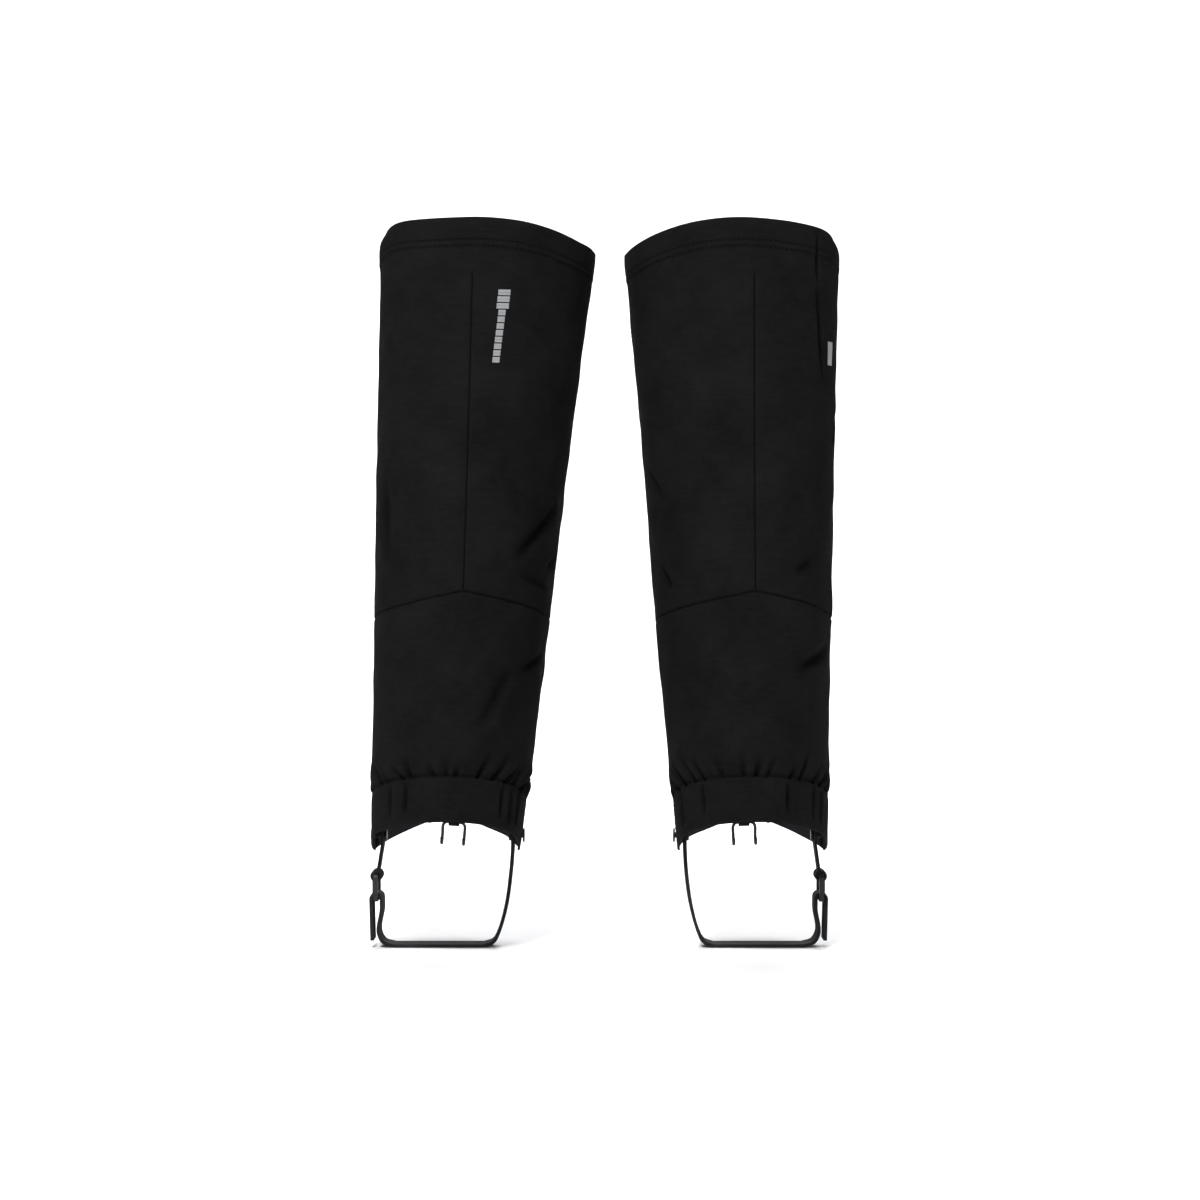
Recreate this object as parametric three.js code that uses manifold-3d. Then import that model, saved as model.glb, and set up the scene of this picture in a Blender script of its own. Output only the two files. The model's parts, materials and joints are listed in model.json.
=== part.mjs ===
// A pair of knee-high mountaineering gaiters, as worn on two legs: waterproof fabric tubes with a
// front hook-and-loop closure, a gathered elastic hem, a lace hook, a cinch at the calf and an
// instep strap that passes under the boot and buckles on the outer side.
//
// Millimetres. +Z is up and +Y points to the toes. The left gaiter is at -X, the right one at +X.
// The origin is at the bottom centre of the pair's bounding box, under the instep straps.
//
// Angles round a leg are in degrees: 0 is straight back, +90 the outer (lateral) side, 180 the
// front and -90 the inner (medial) side. Offsets are measured outwards from the fabric's face.

import * as THREE from "three";
import { mergeVertices } from "three/addons/utils/BufferGeometryUtils.js";
import Module from "manifold-3d";

const wasm = await Module();
wasm.setup();

// ---------------------------------------------------------------- driving dimensions

const GAP = 0.3; // between two pieces that touch
const LAYER_GAP = 0.5; // between two curved layers that lie on each other
const FABRIC = 1.2; // laminate with its seam tape and turnings

// The leg tube: its section is a half ellipse at the back and another one at the front.
const CALF = { z: 485, halfWidth: 74.5, back: 68, front: 68, y: 0 };
const ANKLE = { z: 68, halfWidth: 52, back: 66, front: 100, y: 8 };
const CALF_SWELL = 5; // how far the back stands out over the calf muscle

// Each calf clears the middle plane by `clear`, and leans in from its foot by `lean`.
const LEGS = [
  { name: "left", side: -1, clear: 3.5, lean: 30, rimRise: 12.8, backSeam: { low: -3, high: 6 } },
  { name: "right", side: 1, clear: 15.5, lean: 15, rimRise: 8.2, backSeam: { low: 4.5, high: 10 } },
].map((leg) => ({ ...leg, footX: CALF.halfWidth + leg.clear + leg.lean }));

const RIM = { back: 13, side: -3, front: -7 }; // top edge, from CALF.z
const HEM_EDGE = { back: 26, side: 0, front: 20 }; // bottom edge, from ANKLE.z
const HEM_RISE_POWER = 1.5; // how the edge climbs from the side to the instep
const CHEVRON = { peak: 249, drop: 20 }; // seam between the upper and the lower back
const GATHER = { peak: 125, drop: 22 }; // seam that gathers the lower back into the hem
const RIM_RISE = { at: 66, wide: 36 }; // each leg's rim rises towards its outer side, round this angle
const SIDE_SEAM = 95; // the back panels end and the front panels start

const FLAP_HINGE = 158; // the closure flap leaves the outer front panel here
const FLAP_EDGE = 195; // and ends here, past the front centre
const UNDERLAP_EDGE = 156; // the inner front panel runs on under the flap to here
const UNDERLAP_START = 125; // where it starts to sink under the flap, on the inner side
const UNDERLAP_FULL = 158;
const STRIP = { thick: 1.2, width: 24, endGap: 14 }; // hook strip and loop strip

const TOP_HEM = { height: 20, facing: 0.8, end: 150 }; // turned-in tunnel at the calf
const TOP_ELASTIC = { width: 13, thick: 1, edge: 3.5 };
const HEM_ELASTIC = { width: 22, thick: 1, edge: 5, end: 88 };

const STRAP = { width: 20, thick: 2.4, holes: 3, hole: 3.6, pitch: 7 };
const STRAP_OUT = { bar: 49, foot: 47.5 }; // outer run, from the foot's centre
const STRAP_IN = { top: 45, topZ: 52, mid: 42, midZ: 30, foot: 36.8 }; // inner run
const STRAP_CORNER = 9; // bend at the edge of the sole
const TAIL = { end: 5, lean: 0.8 }; // the free end hangs down outside the outer run

const POST = { above: 10, r: 2, head: 5, headThick: 1.4, y: 26 }; // screw post through the hem
const EAR_CLEARANCE = 3.6; // the strap's ends swing this far inside the hem
const POST_CLEARANCE = 0.3;

const FRAME = { z: 34, height: 19, bar: 3, sideGap: 1 }; // instep buckle, z of its lower bar
const PRONG = { width: 2.6, thick: 1.6, wall: 1.3, pastBar: 1 };
const SLOT_CLEARANCE = 0.4;
const TAB = { width: 18, thick: 1.8 };

const WIRE = { r: 1.2, width: 16, drop: 15, reach: 8.5, rise: 6, bend: 3 }; // lace hook
const HOOK_HANG = 12.5; // turned so that its weight hangs under its eye
const LACE_TAB = { width: 8, thick: 1.4, up: 16, down: 6.5 };

const SNAP = { cap: 6.2, capThick: 1.4, stud: 3.4, neck: 1.6, above: 24, phi: 186 };

const WEB = { width: 12, thick: 1.2, sewn: 36, tail: 27, anchor: 9 }; // cinch webbing at the calf
const LOCK = { width: 17, length: 16, thick: 2.6, bar: 2.2, phi: 142 }; // ladder-lock buckle
const CINCH_DROP = 11; // centre of the cinch below the top edge

// ---------------------------------------------------------------- colours and finishes

const finish = (color, roughness, metalness = 0) =>
  new THREE.MeshStandardMaterial({ color, roughness, metalness });
const MATERIALS = {
  shell: finish(0x1b1b1c, 0.78),
  lining: finish(0x242426, 0.85),
  elastic: finish(0x202022, 0.9),
  hookLoop: finish(0x161617, 0.95),
  rubber: finish(0x141415, 0.55),
  webbing: finish(0x19191a, 0.85),
  steel: finish(0x2a2b2d, 0.35, 0.9),
  plastic: finish(0x151516, 0.45),
};

// ---------------------------------------------------------------- helpers

const rad = THREE.MathUtils.degToRad;
const lerp = THREE.MathUtils.lerp;
const smooth = THREE.MathUtils.smoothstep;

// A closed geometry as a solid that can be cut or joined.
function solid(geometry) {
  const bare = geometry.index ? geometry.toNonIndexed() : geometry.clone();
  bare.deleteAttribute("normal");
  bare.deleteAttribute("uv");
  const merged = mergeVertices(bare, 1e-4);
  return new wasm.Manifold(
    new wasm.Mesh({
      numProp: 3,
      vertProperties: merged.attributes.position.array,
      triVerts: new Uint32Array(merged.index.array),
    }),
  );
}

// A solid back as a geometry.
function geometryOf(made) {
  const mesh = made.getMesh();
  const position = new THREE.BufferAttribute(new Float32Array(mesh.vertProperties), 3);
  return new THREE.BufferGeometry()
    .setAttribute("position", position)
    .setIndex(new THREE.BufferAttribute(mesh.triVerts, 1));
}

const boxAt = (wide, deep, high, x, y, z) =>
  new THREE.BoxGeometry(wide, deep, high).translate(x, y, z);

// A cylinder along +X whose middle is at (x, y, z).
const rodX = (r, length, x, y, z, sides = 20) =>
  new THREE.CylinderGeometry(r, r, length, sides).rotateZ(Math.PI / 2).translate(x, y, z);

const cut = (geometry, ...tools) =>
  geometryOf(tools.reduce((left, tool) => left.subtract(solid(tool)), solid(geometry)));
const join = (geometry, ...more) =>
  geometryOf(more.reduce((left, tool) => left.add(solid(tool)), solid(geometry)));

// A profile drawn in (x, z) and extruded along Y over `width`, centred on y.
function slab(outline, width, y) {
  return new THREE.ExtrudeGeometry(outline, { depth: width, bevelEnabled: false, curveSegments: 8 })
    .rotateX(Math.PI / 2)
    .translate(0, y + width / 2, 0);
}

// The outline of a band of a given thickness whose middle follows the points.
function bandOutline(points, thick) {
  const offset = (k) =>
    points.map((p, i) => {
      const before = points[Math.max(i - 1, 0)];
      const after = points[Math.min(i + 1, points.length - 1)];
      const along = after.clone().sub(before).normalize();
      return new THREE.Vector2(p.x - along.y * k, p.y + along.x * k);
    });
  return new THREE.Shape([...offset(-thick / 2), ...offset(thick / 2).reverse()]);
}

// ---------------------------------------------------------------- the leg tube

const share = (z) => (z - ANKLE.z) / (CALF.z - ANKLE.z);

function section(z) {
  const t = share(z);
  const swell = CALF_SWELL * Math.sin(Math.PI * Math.min(Math.max(t, 0), 1) ** 1.6);
  return {
    halfWidth: lerp(ANKLE.halfWidth, CALF.halfWidth, t),
    back: lerp(ANKLE.back, CALF.back, t) + swell,
    front: lerp(ANKLE.front, CALF.front, t),
    y: lerp(ANKLE.y, CALF.y, t),
  };
}

const legX = (leg, z) => leg.side * (leg.footX - leg.lean * share(z));

// A point at an angle and height on one leg's fabric, `off` outside it.
function onLeg(leg, phi, z, off = 0) {
  const s = section(z);
  const sin = Math.sin(rad(phi));
  const cos = Math.cos(rad(phi));
  const depth = cos > 0 ? s.back : s.front;
  const normal = new THREE.Vector2(depth * sin, -s.halfWidth * cos).normalize();
  return new THREE.Vector3(
    legX(leg, z) + leg.side * (s.halfWidth * sin + off * normal.x),
    s.y - depth * cos + off * normal.y,
    z,
  );
}

// The surface's own frame at a point: x runs round the leg, y points outwards and z up the leg.
function frameOnLeg(leg, phi, z, off = 0) {
  const round = onLeg(leg, phi + 0.5, z).sub(onLeg(leg, phi - 0.5, z));
  const up = onLeg(leg, phi, z + 1).sub(onLeg(leg, phi, z - 1)).normalize();
  const out = up.clone().cross(round).multiplyScalar(-leg.side).normalize();
  const at = onLeg(leg, phi, z).addScaledVector(out, off);
  return new THREE.Matrix4().makeBasis(out.clone().cross(up), out, up).setPosition(at);
}

const aroundBack = (phi) => Math.abs(((phi + 540) % 360) - 180); // 0 at the back, 180 at the front

const rimZ = (leg) => (phi) => {
  const c = Math.cos(rad(phi));
  const level = CALF.z + RIM.side + (c > 0 ? RIM.back - RIM.side : RIM.front - RIM.side) * c * c;
  return level + leg.rimRise * Math.exp(-(((phi - RIM_RISE.at) / RIM_RISE.wide) ** 2));
};

function hemZ(phi) {
  const turn = aroundBack(phi);
  if (turn <= SIDE_SEAM) {
    return ANKLE.z + lerp(HEM_EDGE.back, HEM_EDGE.side, (turn / SIDE_SEAM) ** 2);
  }
  const forward = (turn - SIDE_SEAM) / (180 - SIDE_SEAM);
  return ANKLE.z + lerp(HEM_EDGE.side, HEM_EDGE.front, forward ** HEM_RISE_POWER);
}

const chevronZ = (leg) => (phi) => (
  CHEVRON.peak - (CHEVRON.drop * Math.abs(phi - leg.backSeam.low)) / 90
);
const gatherZ = (phi) => GATHER.peak - GATHER.drop * (phi / SIDE_SEAM) ** 2;

// A closed curved sheet between two angles and two heights (functions of the angle).
// `off` is the outer face's offset, a number or a function of the angle. `fromTop` and `toTop` are
// the angles at the upper edge where the sides lean.
function sheet(leg, spec) {
  const { from, to, fromTop = from, toTop = to, low, high, off = 0, thick = FABRIC, across, up } = spec;
  const offAt = typeof off === "function" ? off : () => off;
  const position = [];
  for (const inner of [0, thick]) {
    for (let i = 0; i <= across; i += 1) {
      const phiLow = lerp(from, to, i / across);
      const phiHigh = lerp(fromTop, toTop, i / across);
      for (let j = 0; j <= up; j += 1) {
        const phi = lerp(phiLow, phiHigh, j / up);
        const z = lerp(low(phiLow), high(phiHigh), j / up);
        position.push(...onLeg(leg, phi, z, offAt(phi) - inner));
      }
    }
  }
  const at = (face, i, j) => (face * (across + 1) + i) * (up + 1) + j;
  const index = [];
  const quad = (a, b, c, d) => {
    index.push(...(leg.side > 0 ? [a, b, c, a, c, d] : [a, c, b, a, d, c]));
  };
  for (let i = 0; i < across; i += 1) {
    for (let j = 0; j < up; j += 1) {
      quad(at(0, i, j), at(0, i + 1, j), at(0, i + 1, j + 1), at(0, i, j + 1));
      quad(at(1, i, j), at(1, i, j + 1), at(1, i + 1, j + 1), at(1, i + 1, j));
    }
    quad(at(0, i, 0), at(1, i, 0), at(1, i + 1, 0), at(0, i + 1, 0));
    quad(at(0, i, up), at(0, i + 1, up), at(1, i + 1, up), at(1, i, up));
  }
  for (let j = 0; j < up; j += 1) {
    quad(at(0, 0, j), at(0, 0, j + 1), at(1, 0, j + 1), at(1, 0, j));
    quad(at(0, across, j), at(1, across, j), at(1, across, j + 1), at(0, across, j + 1));
  }
  const geometry = new THREE.BufferGeometry();
  geometry.setAttribute("position", new THREE.Float32BufferAttribute(position, 3));
  geometry.setIndex(index);
  return geometry;
}

const seam = 0.15; // half the gap in degrees at a seam, about 0.2 mm each side
const above = (line) => (phi) => line(phi) + GAP / 2;
const below = (line) => (phi) => line(phi) - GAP / 2;

// The inner front panel sinks under the flap.
const STACK = FABRIC + 2 * STRIP.thick + 3 * LAYER_GAP; // flap, hook strip, loop strip
const sink = (phi) => -STACK * smooth(aroundUnder(phi), UNDERLAP_START, UNDERLAP_FULL);
const aroundUnder = (phi) => -phi; // the inner panel's angles run from -95 down past -180

// ---------------------------------------------------------------- fabric panels

function fabricPanels(leg) {
  const front = 180 + (180 - UNDERLAP_EDGE);
  const back = leg.backSeam;
  const rim = rimZ(leg);
  return {
    upper_back_inner: sheet(leg, {
      from: -SIDE_SEAM + seam, to: back.low - seam, toTop: back.high - seam,
      low: above(chevronZ(leg)), high: rim, across: 10, up: 6,
    }),
    upper_back_outer: sheet(leg, {
      from: back.low + seam, fromTop: back.high + seam, to: SIDE_SEAM - seam,
      low: above(chevronZ(leg)), high: rim, across: 9, up: 6,
    }),
    lower_back: sheet(leg, {
      from: -SIDE_SEAM + seam, to: SIDE_SEAM - seam,
      low: above(gatherZ), high: below(chevronZ(leg)), across: 20, up: 4,
    }),
    hem_band: sheet(leg, {
      from: -SIDE_SEAM + seam, to: SIDE_SEAM - seam,
      low: hemZ, high: below(gatherZ), across: 20, up: 2,
    }),
    front_inner: cut(
      sheet(leg, {
        from: -front, to: -SIDE_SEAM - seam,
        low: hemZ, high: rim, off: sink, across: 16, up: 4,
      }),
      postHole(leg, -1),
      snapHole(leg, -STACK),
    ),
    front_outer: cut(
      sheet(leg, {
        from: SIDE_SEAM + seam, to: FLAP_HINGE - seam,
        low: hemZ, high: rim, across: 8, up: 4,
      }),
      postHole(leg, 1),
    ),
    flap: cut(
      sheet(leg, {
        from: FLAP_HINGE + seam, to: FLAP_EDGE,
        low: hemZ, high: rim, across: 6, up: 4,
      }),
      snapHole(leg, 0),
    ),
  };
}

// The tunnel turned in along the top edge and the elastic bands in both hems.
function hemParts(leg) {
  const belowRim = (drop) => (phi) => rimZ(leg)(phi) - drop;
  const aboveHem = (rise) => (phi) => hemZ(phi) + rise;
  const elasticOff = -FABRIC - LAYER_GAP;
  return {
    top_facing: sheet(leg, {
      from: -UNDERLAP_START + 5, to: TOP_HEM.end,
      low: belowRim(TOP_HEM.height), high: belowRim(GAP),
      off: elasticOff - TOP_ELASTIC.thick - LAYER_GAP, thick: TOP_HEM.facing, across: 26, up: 1,
    }),
    top_elastic: sheet(leg, {
      from: -UNDERLAP_START + 8, to: TOP_HEM.end - 3,
      low: belowRim(TOP_ELASTIC.edge + TOP_ELASTIC.width), high: belowRim(TOP_ELASTIC.edge),
      off: elasticOff, thick: TOP_ELASTIC.thick, across: 26, up: 1,
    }),
    hem_elastic: sheet(leg, {
      from: -HEM_ELASTIC.end, to: HEM_ELASTIC.end,
      low: aboveHem(HEM_ELASTIC.edge), high: aboveHem(HEM_ELASTIC.edge + HEM_ELASTIC.width),
      off: elasticOff, thick: HEM_ELASTIC.thick, across: 18, up: 1,
    }),
  };
}

// ---------------------------------------------------------------- front closure

// The strips' angles at a height give the same width of tape all the way up.
function closureStrips(leg) {
  const middle = (FLAP_HINGE + FLAP_EDGE) / 2;
  const turn = (STRIP.width / 2 / ((ANKLE.halfWidth + CALF.halfWidth) / 2)) * (180 / Math.PI);
  const tape = {
    low: (phi) => hemZ(phi) + SNAP.above + STRIP.endGap,
    high: (phi) => rimZ(leg)(phi) - STRIP.endGap / 2,
    thick: STRIP.thick, across: 4, up: 4,
  };
  const hookOff = -FABRIC - LAYER_GAP;
  const under = (phi) => phi - 360;
  return {
    hook_strip: sheet(leg, { ...tape, from: middle - turn, to: middle + turn, off: hookOff }),
    loop_strip: sheet(leg, {
      ...tape, from: under(middle - turn), to: under(middle + turn),
      off: hookOff - STRIP.thick - LAYER_GAP,
    }),
  };
}

// Stands a piece that was made along +Z on the press stud's axis, at an offset from the flap.
function onSnap(leg, geometry, off) {
  const z = hemZ(SNAP.phi) + SNAP.above;
  return geometry.rotateX(-Math.PI / 2).applyMatrix4(frameOnLeg(leg, SNAP.phi, z, off));
}

// How far in a flat piece of a given width must lie to clear the rounded inside of the front.
const frontRadius = ANKLE.halfWidth ** 2 / ANKLE.front - STACK - FABRIC;
const insideFront = (off, width) => off - FABRIC - GAP - width ** 2 / (8 * frontRadius);

const disc = (r, thick, z, sides = 20) =>
  new THREE.CylinderGeometry(r, r, thick, sides).rotateX(Math.PI / 2).translate(0, 0, z);

const snapHole = (leg, off) => onSnap(leg, disc(SNAP.neck + GAP, 6, 0), off - FABRIC / 2);

function pressStud(leg) {
  const plate = 1.1;
  const head = disc(SNAP.cap, SNAP.capThick, GAP + SNAP.capThick / 2, 24);
  const neck = (off, inside) => disc(SNAP.neck, off - inside + 2 * GAP + plate, (off + inside) / 2);
  const socketIn = insideFront(0, 2 * (SNAP.stud + 1));
  const socket = join(head, neck(0, socketIn), disc(SNAP.stud + 1, plate, socketIn - plate / 2));

  const studBase = -STACK + GAP;
  const studThick = socketIn - plate - GAP - studBase;
  const studIn = insideFront(-STACK, 2 * (SNAP.cap - 1));
  const stud = join(
    disc(SNAP.stud, studThick, studBase + studThick / 2),
    neck(-STACK, studIn),
    disc(SNAP.cap - 1, plate, studIn - plate / 2),
  );
  return { snap_cap: onSnap(leg, socket, 0), snap_stud: onSnap(leg, stud, 0) };
}

// ---------------------------------------------------------------- lace hook

// The hook hangs from a folded tab inside the front of the hem, and points back to the laces.
function laceHook(leg) {
  const z = hemZ(180) - LACE_TAB.down;
  const place = frameOnLeg(leg, -180, z, insideFront(-STACK, LACE_TAB.width) - LACE_TAB.thick / 2);
  const half = WIRE.width / 2;
  const limb = (s) => [
    new THREE.Vector3(s * half, -WIRE.reach, -WIRE.drop + WIRE.rise),
    new THREE.Vector3(s * half, -WIRE.reach + 1, -WIRE.drop + WIRE.bend / 2),
    new THREE.Vector3(s * half, -WIRE.reach / 2, -WIRE.drop),
    new THREE.Vector3(s * half, -1, -WIRE.drop + WIRE.bend / 2),
    new THREE.Vector3(s * half, 0, -WIRE.drop + 2 * WIRE.bend),
    new THREE.Vector3(s * half, 0, -WIRE.bend),
    new THREE.Vector3(s * (half - WIRE.bend / 3), 0, -WIRE.bend / 3),
    new THREE.Vector3(s * (half - WIRE.bend), 0, 0),
    new THREE.Vector3((s * LACE_TAB.width) / 2, 0, 0),
  ];
  const path = new THREE.CatmullRomCurve3([...limb(-1), ...limb(1).reverse()], false, "centripetal");
  const ring = new THREE.Shape().absarc(0, 0, WIRE.r, 0, 2 * Math.PI);
  const hook = new THREE.ExtrudeGeometry(ring, { extrudePath: path, steps: 44, curveSegments: 4 });

  const eye = WIRE.r + GAP;
  const barrel = rodX(eye + LACE_TAB.thick, LACE_TAB.width, 0, 0, 0);
  const leaf = boxAt(LACE_TAB.width, LACE_TAB.thick, LACE_TAB.up, 0, 0, LACE_TAB.up / 2 + eye);
  const tab = cut(join(barrel, leaf), rodX(eye, LACE_TAB.width + 2, 0, 0, 0));
  return { lace_hook: hook.rotateX(rad(HOOK_HANG)).applyMatrix4(place), lace_tab: tab.applyMatrix4(place) };
}

// ---------------------------------------------------------------- instep strap

const postZ = ANKLE.z + POST.above;

// The fabric's X at one end of the strap; `end` is 1 on the outer side and -1 on the inner side.
function hemFaceX(leg, end) {
  const phi = THREE.MathUtils.radToDeg(Math.acos(-(POST.y - section(postZ).y) / section(postZ).front));
  return onLeg(leg, end * phi, postZ).x;
}

const postHole = (leg, end) =>
  rodX(POST.r + POST_CLEARANCE, 12, hemFaceX(leg, end), POST.y, postZ, 16);

// A screw post: a head outside the hem, a shank through it and the strap, and a head inside.
function screwPost(leg, end) {
  const out = leg.side * end;
  const face = hemFaceX(leg, end);
  const inner = FABRIC + EAR_CLEARANCE + STRAP.thick + GAP;
  const bulge = 0.9; // the curved hem stands this far past the shank's centre under the head
  const length = inner + bulge + POST.headThick;
  return join(
    rodX(POST.head, POST.headThick, face + out * (bulge + POST.headThick / 2), POST.y, postZ, 24),
    rodX(POST.r, length, face + out * (bulge + 0.2 - length / 2), POST.y, postZ),
    rodX(POST.head - 1, POST.headThick, face - out * (inner + POST.headThick / 2), POST.y, postZ, 20),
  );
}

// Strap pieces are drawn in (outwards, up) from the foot's centre line and then put on their leg.
const V = (x, z) => new THREE.Vector2(x, z);

function strapLayout(leg) {
  const foot = leg.footX * leg.side;
  const ear = (end) => {
    const face = hemFaceX(leg, end) * leg.side - leg.footX;
    return face - end * (FABRIC + EAR_CLEARANCE + STRAP.thick / 2);
  };
  const bar = V(STRAP_OUT.bar, FRAME.z);
  const fold = FRAME.bar * Math.SQRT1_2 + GAP + STRAP.thick / 2;
  return { foot, ear, bar, fold, heel: V(bar.x, bar.y + FRAME.height - FRAME.bar) };
}

const onFoot = (leg, geometry, foot) => {
  if (leg.side > 0) return geometry.translate(foot, 0, 0);
  const mirrored = geometryOf(solid(geometry).mirror([1, 0, 0]));
  return mirrored.translate(foot, 0, 0);
};

function strapPath({ ear, bar, fold }) {
  const sole = STRAP.thick / 2;
  const inner = ear(-1);
  const smoothRun = (points) =>
    new THREE.CatmullRomCurve3(points.map((p) => new THREE.Vector3(p.x, p.y, 0)), false, "centripetal")
      .getPoints(20)
      .map((p) => V(p.x, p.y));
  const down = smoothRun([
    V(inner, postZ), V(inner, postZ - 8), V(-STRAP_IN.top, STRAP_IN.topZ), V(-STRAP_IN.mid, STRAP_IN.midZ),
    V(-STRAP_IN.foot, STRAP_CORNER + 2), V(-STRAP_IN.foot + 4, sole + 2.6),
    V(-STRAP_IN.foot + STRAP_CORNER + 2, sole),
  ]);
  const up = smoothRun([
    V(STRAP_OUT.foot - STRAP_CORNER - 2, sole), V(STRAP_OUT.foot - 3.5, sole + 2.6),
    V(STRAP_OUT.foot, STRAP_CORNER + 2), V(bar.x - fold, bar.y - 8), V(bar.x - fold, bar.y - 1),
  ]);
  const turns = 8;
  const over = Array.from({ length: turns + 1 }, (_, i) => {
    const angle = Math.PI * (1 - i / turns);
    return V(bar.x + fold * Math.cos(angle), bar.y + fold * Math.sin(angle));
  });
  return [V(inner, postZ + STRAP.width / 2), ...down, ...up, ...over];
}

// Rounds the end of a strip round the post, seen from the side.
function roundedEar(x, keepDown) {
  const far = STRAP.width;
  const round = rodX(STRAP.width / 2, 2 * far, x, POST.y, postZ, 28);
  const down = boxAt(2 * far, STRAP.width, keepDown, x, POST.y, postZ - keepDown / 2);
  return solid(round).add(solid(down));
}

function instepStrap(leg) {
  const layout = strapLayout(leg);
  const { foot, ear, bar, fold, heel } = layout;
  const width = STRAP.width;
  const slot = PRONG.width + 2 * SLOT_CLEARANCE;
  const post = (x) => rodX(POST.r + POST_CLEARANCE, 12, x, POST.y, postZ, 16);

  const tailTop = V(bar.x + fold, bar.y);
  const tailEnd = V(tailTop.x - TAIL.lean, TAIL.end);
  const band = solid(slab(bandOutline([...strapPath(layout), tailEnd], STRAP.thick), width, POST.y));
  const beyond = boxAt(30, 2 * width, 4 * POST.head, ear(-1), POST.y, postZ + 2 * POST.head);
  const rounded = solid(beyond).subtract(roundedEar(ear(-1), 1));
  const slotLow = bar.y - PRONG.pastBar - SLOT_CLEARANCE;
  const slotHigh = bar.y + fold + STRAP.thick;
  const slotX = bar.x + FRAME.bar / 2;
  const tongueSlot = boxAt(10, slot, slotHigh - slotLow, slotX + 5, POST.y, (slotHigh + slotLow) / 2);
  const holes = Array.from({ length: STRAP.holes }, (_, i) => {
    const p = tailTop.clone().lerp(tailEnd, ((i + 1) * STRAP.pitch) / tailTop.distanceTo(tailEnd));
    return solid(rodX(STRAP.hole / 2, 6, p.x, POST.y, p.y, 12));
  });
  const strap = [rounded, solid(post(ear(-1))), solid(tongueSlot), ...holes].reduce(
    (left, tool) => left.subtract(tool), band);

  const place = (geometry) => onFoot(leg, geometry, foot);
  return {
    strap: place(geometryOf(strap)),
    strap_tab: place(strapTab(ear(1), heel, post)),
    buckle_frame: place(buckleFrame(bar)),
    buckle_prong: place(buckleProng(bar, heel)),
    post_inner: screwPost(leg, -1),
    post_outer: screwPost(leg, 1),
  };
}

// The short tab between the outer post and the buckle, folded round the buckle's heel bar.
function strapTab(x, heel, post) {
  const eye = FRAME.bar * Math.SQRT1_2 + GAP;
  const outline = bandOutline(
    [V(x, postZ + TAB.width / 2), V(x, postZ - 6), V(heel.x - 1.2, heel.y + eye + 1.5),
      V(heel.x, heel.y + eye + TAB.thick / 2)],
    TAB.thick,
  );
  const eyeRing = new THREE.Shape().absarc(heel.x, heel.y, eye + TAB.thick, 0, 2 * Math.PI);
  const body = solid(slab(outline, TAB.width, POST.y)).add(solid(slab(eyeRing, TAB.width, POST.y)));
  const hole = new THREE.Shape().absarc(heel.x, heel.y, eye, 0, 2 * Math.PI);
  const corner = boxAt(30, 2 * TAB.width, 20, x, POST.y, postZ + 10);
  const keep = roundedEar(x, 1);
  const notch = boxAt(30, PRONG.width + 2 * SLOT_CLEARANCE, 14, heel.x, POST.y, heel.y - 1);
  return geometryOf(
    body
      .subtract(solid(slab(hole, TAB.width + 2, POST.y)))
      .subtract(solid(corner).subtract(keep))
      .subtract(solid(post(x)))
      .subtract(solid(notch)),
  );
}

function buckleFrame(bar) {
  const wide = STRAP.width + 2 * (FRAME.sideGap + FRAME.bar);
  const rounded = (shape, w, h, r) => {
    shape.moveTo(-w / 2 + r, -h / 2).lineTo(w / 2 - r, -h / 2);
    shape.absarc(w / 2 - r, -h / 2 + r, r, -Math.PI / 2, 0);
    shape.absarc(w / 2 - r, h / 2 - r, r, 0, Math.PI / 2);
    shape.absarc(-w / 2 + r, h / 2 - r, r, Math.PI / 2, Math.PI);
    shape.absarc(-w / 2 + r, -h / 2 + r, r, Math.PI, 1.5 * Math.PI);
    return shape;
  };
  const outline = rounded(new THREE.Shape(), wide, FRAME.height, 2.5);
  const windowHigh = FRAME.height - 2 * FRAME.bar;
  outline.holes.push(rounded(new THREE.Path(), wide - 2 * FRAME.bar, windowHigh, 1));
  return new THREE.ExtrudeGeometry(outline, { depth: FRAME.bar, bevelEnabled: false, curveSegments: 4 })
    .rotateX(Math.PI / 2)
    .rotateZ(Math.PI / 2)
    .translate(bar.x - FRAME.bar / 2, POST.y, bar.y + FRAME.height / 2 - FRAME.bar / 2);
}

// The prong turns on the heel bar, and its tongue rests on the outer face of the lower bar.
function buckleProng(bar, heel) {
  const eye = FRAME.bar * Math.SQRT1_2 + GAP;
  const ring = new THREE.Shape().absarc(heel.x, heel.y, eye + PRONG.wall, 0, 2 * Math.PI);
  const x = bar.x + FRAME.bar / 2 + GAP;
  const tongue = boxAt(PRONG.thick, PRONG.width, heel.y - bar.y + PRONG.pastBar,
    x + PRONG.thick / 2, POST.y, (heel.y + bar.y - PRONG.pastBar) / 2);
  const hole = new THREE.Shape().absarc(heel.x, heel.y, eye, 0, 2 * Math.PI);
  return cut(
    join(slab(ring, PRONG.width, POST.y), tongue),
    slab(hole, PRONG.width + 2, POST.y),
  );
}

// ---------------------------------------------------------------- calf cinch

// Puts a piece on the outer front of the top hem: its x runs forwards round the leg.
function cinchPlace(leg, geometry, phi, off) {
  const place = frameOnLeg(leg, phi, rimZ(leg)(phi) - CINCH_DROP, off);
  const turned = leg.side < 0 ? new THREE.Matrix4() : new THREE.Matrix4().makeScale(-1, 1, 1);
  return geometryOf(solid(geometry).transform(turned.premultiply(place).elements));
}

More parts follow.
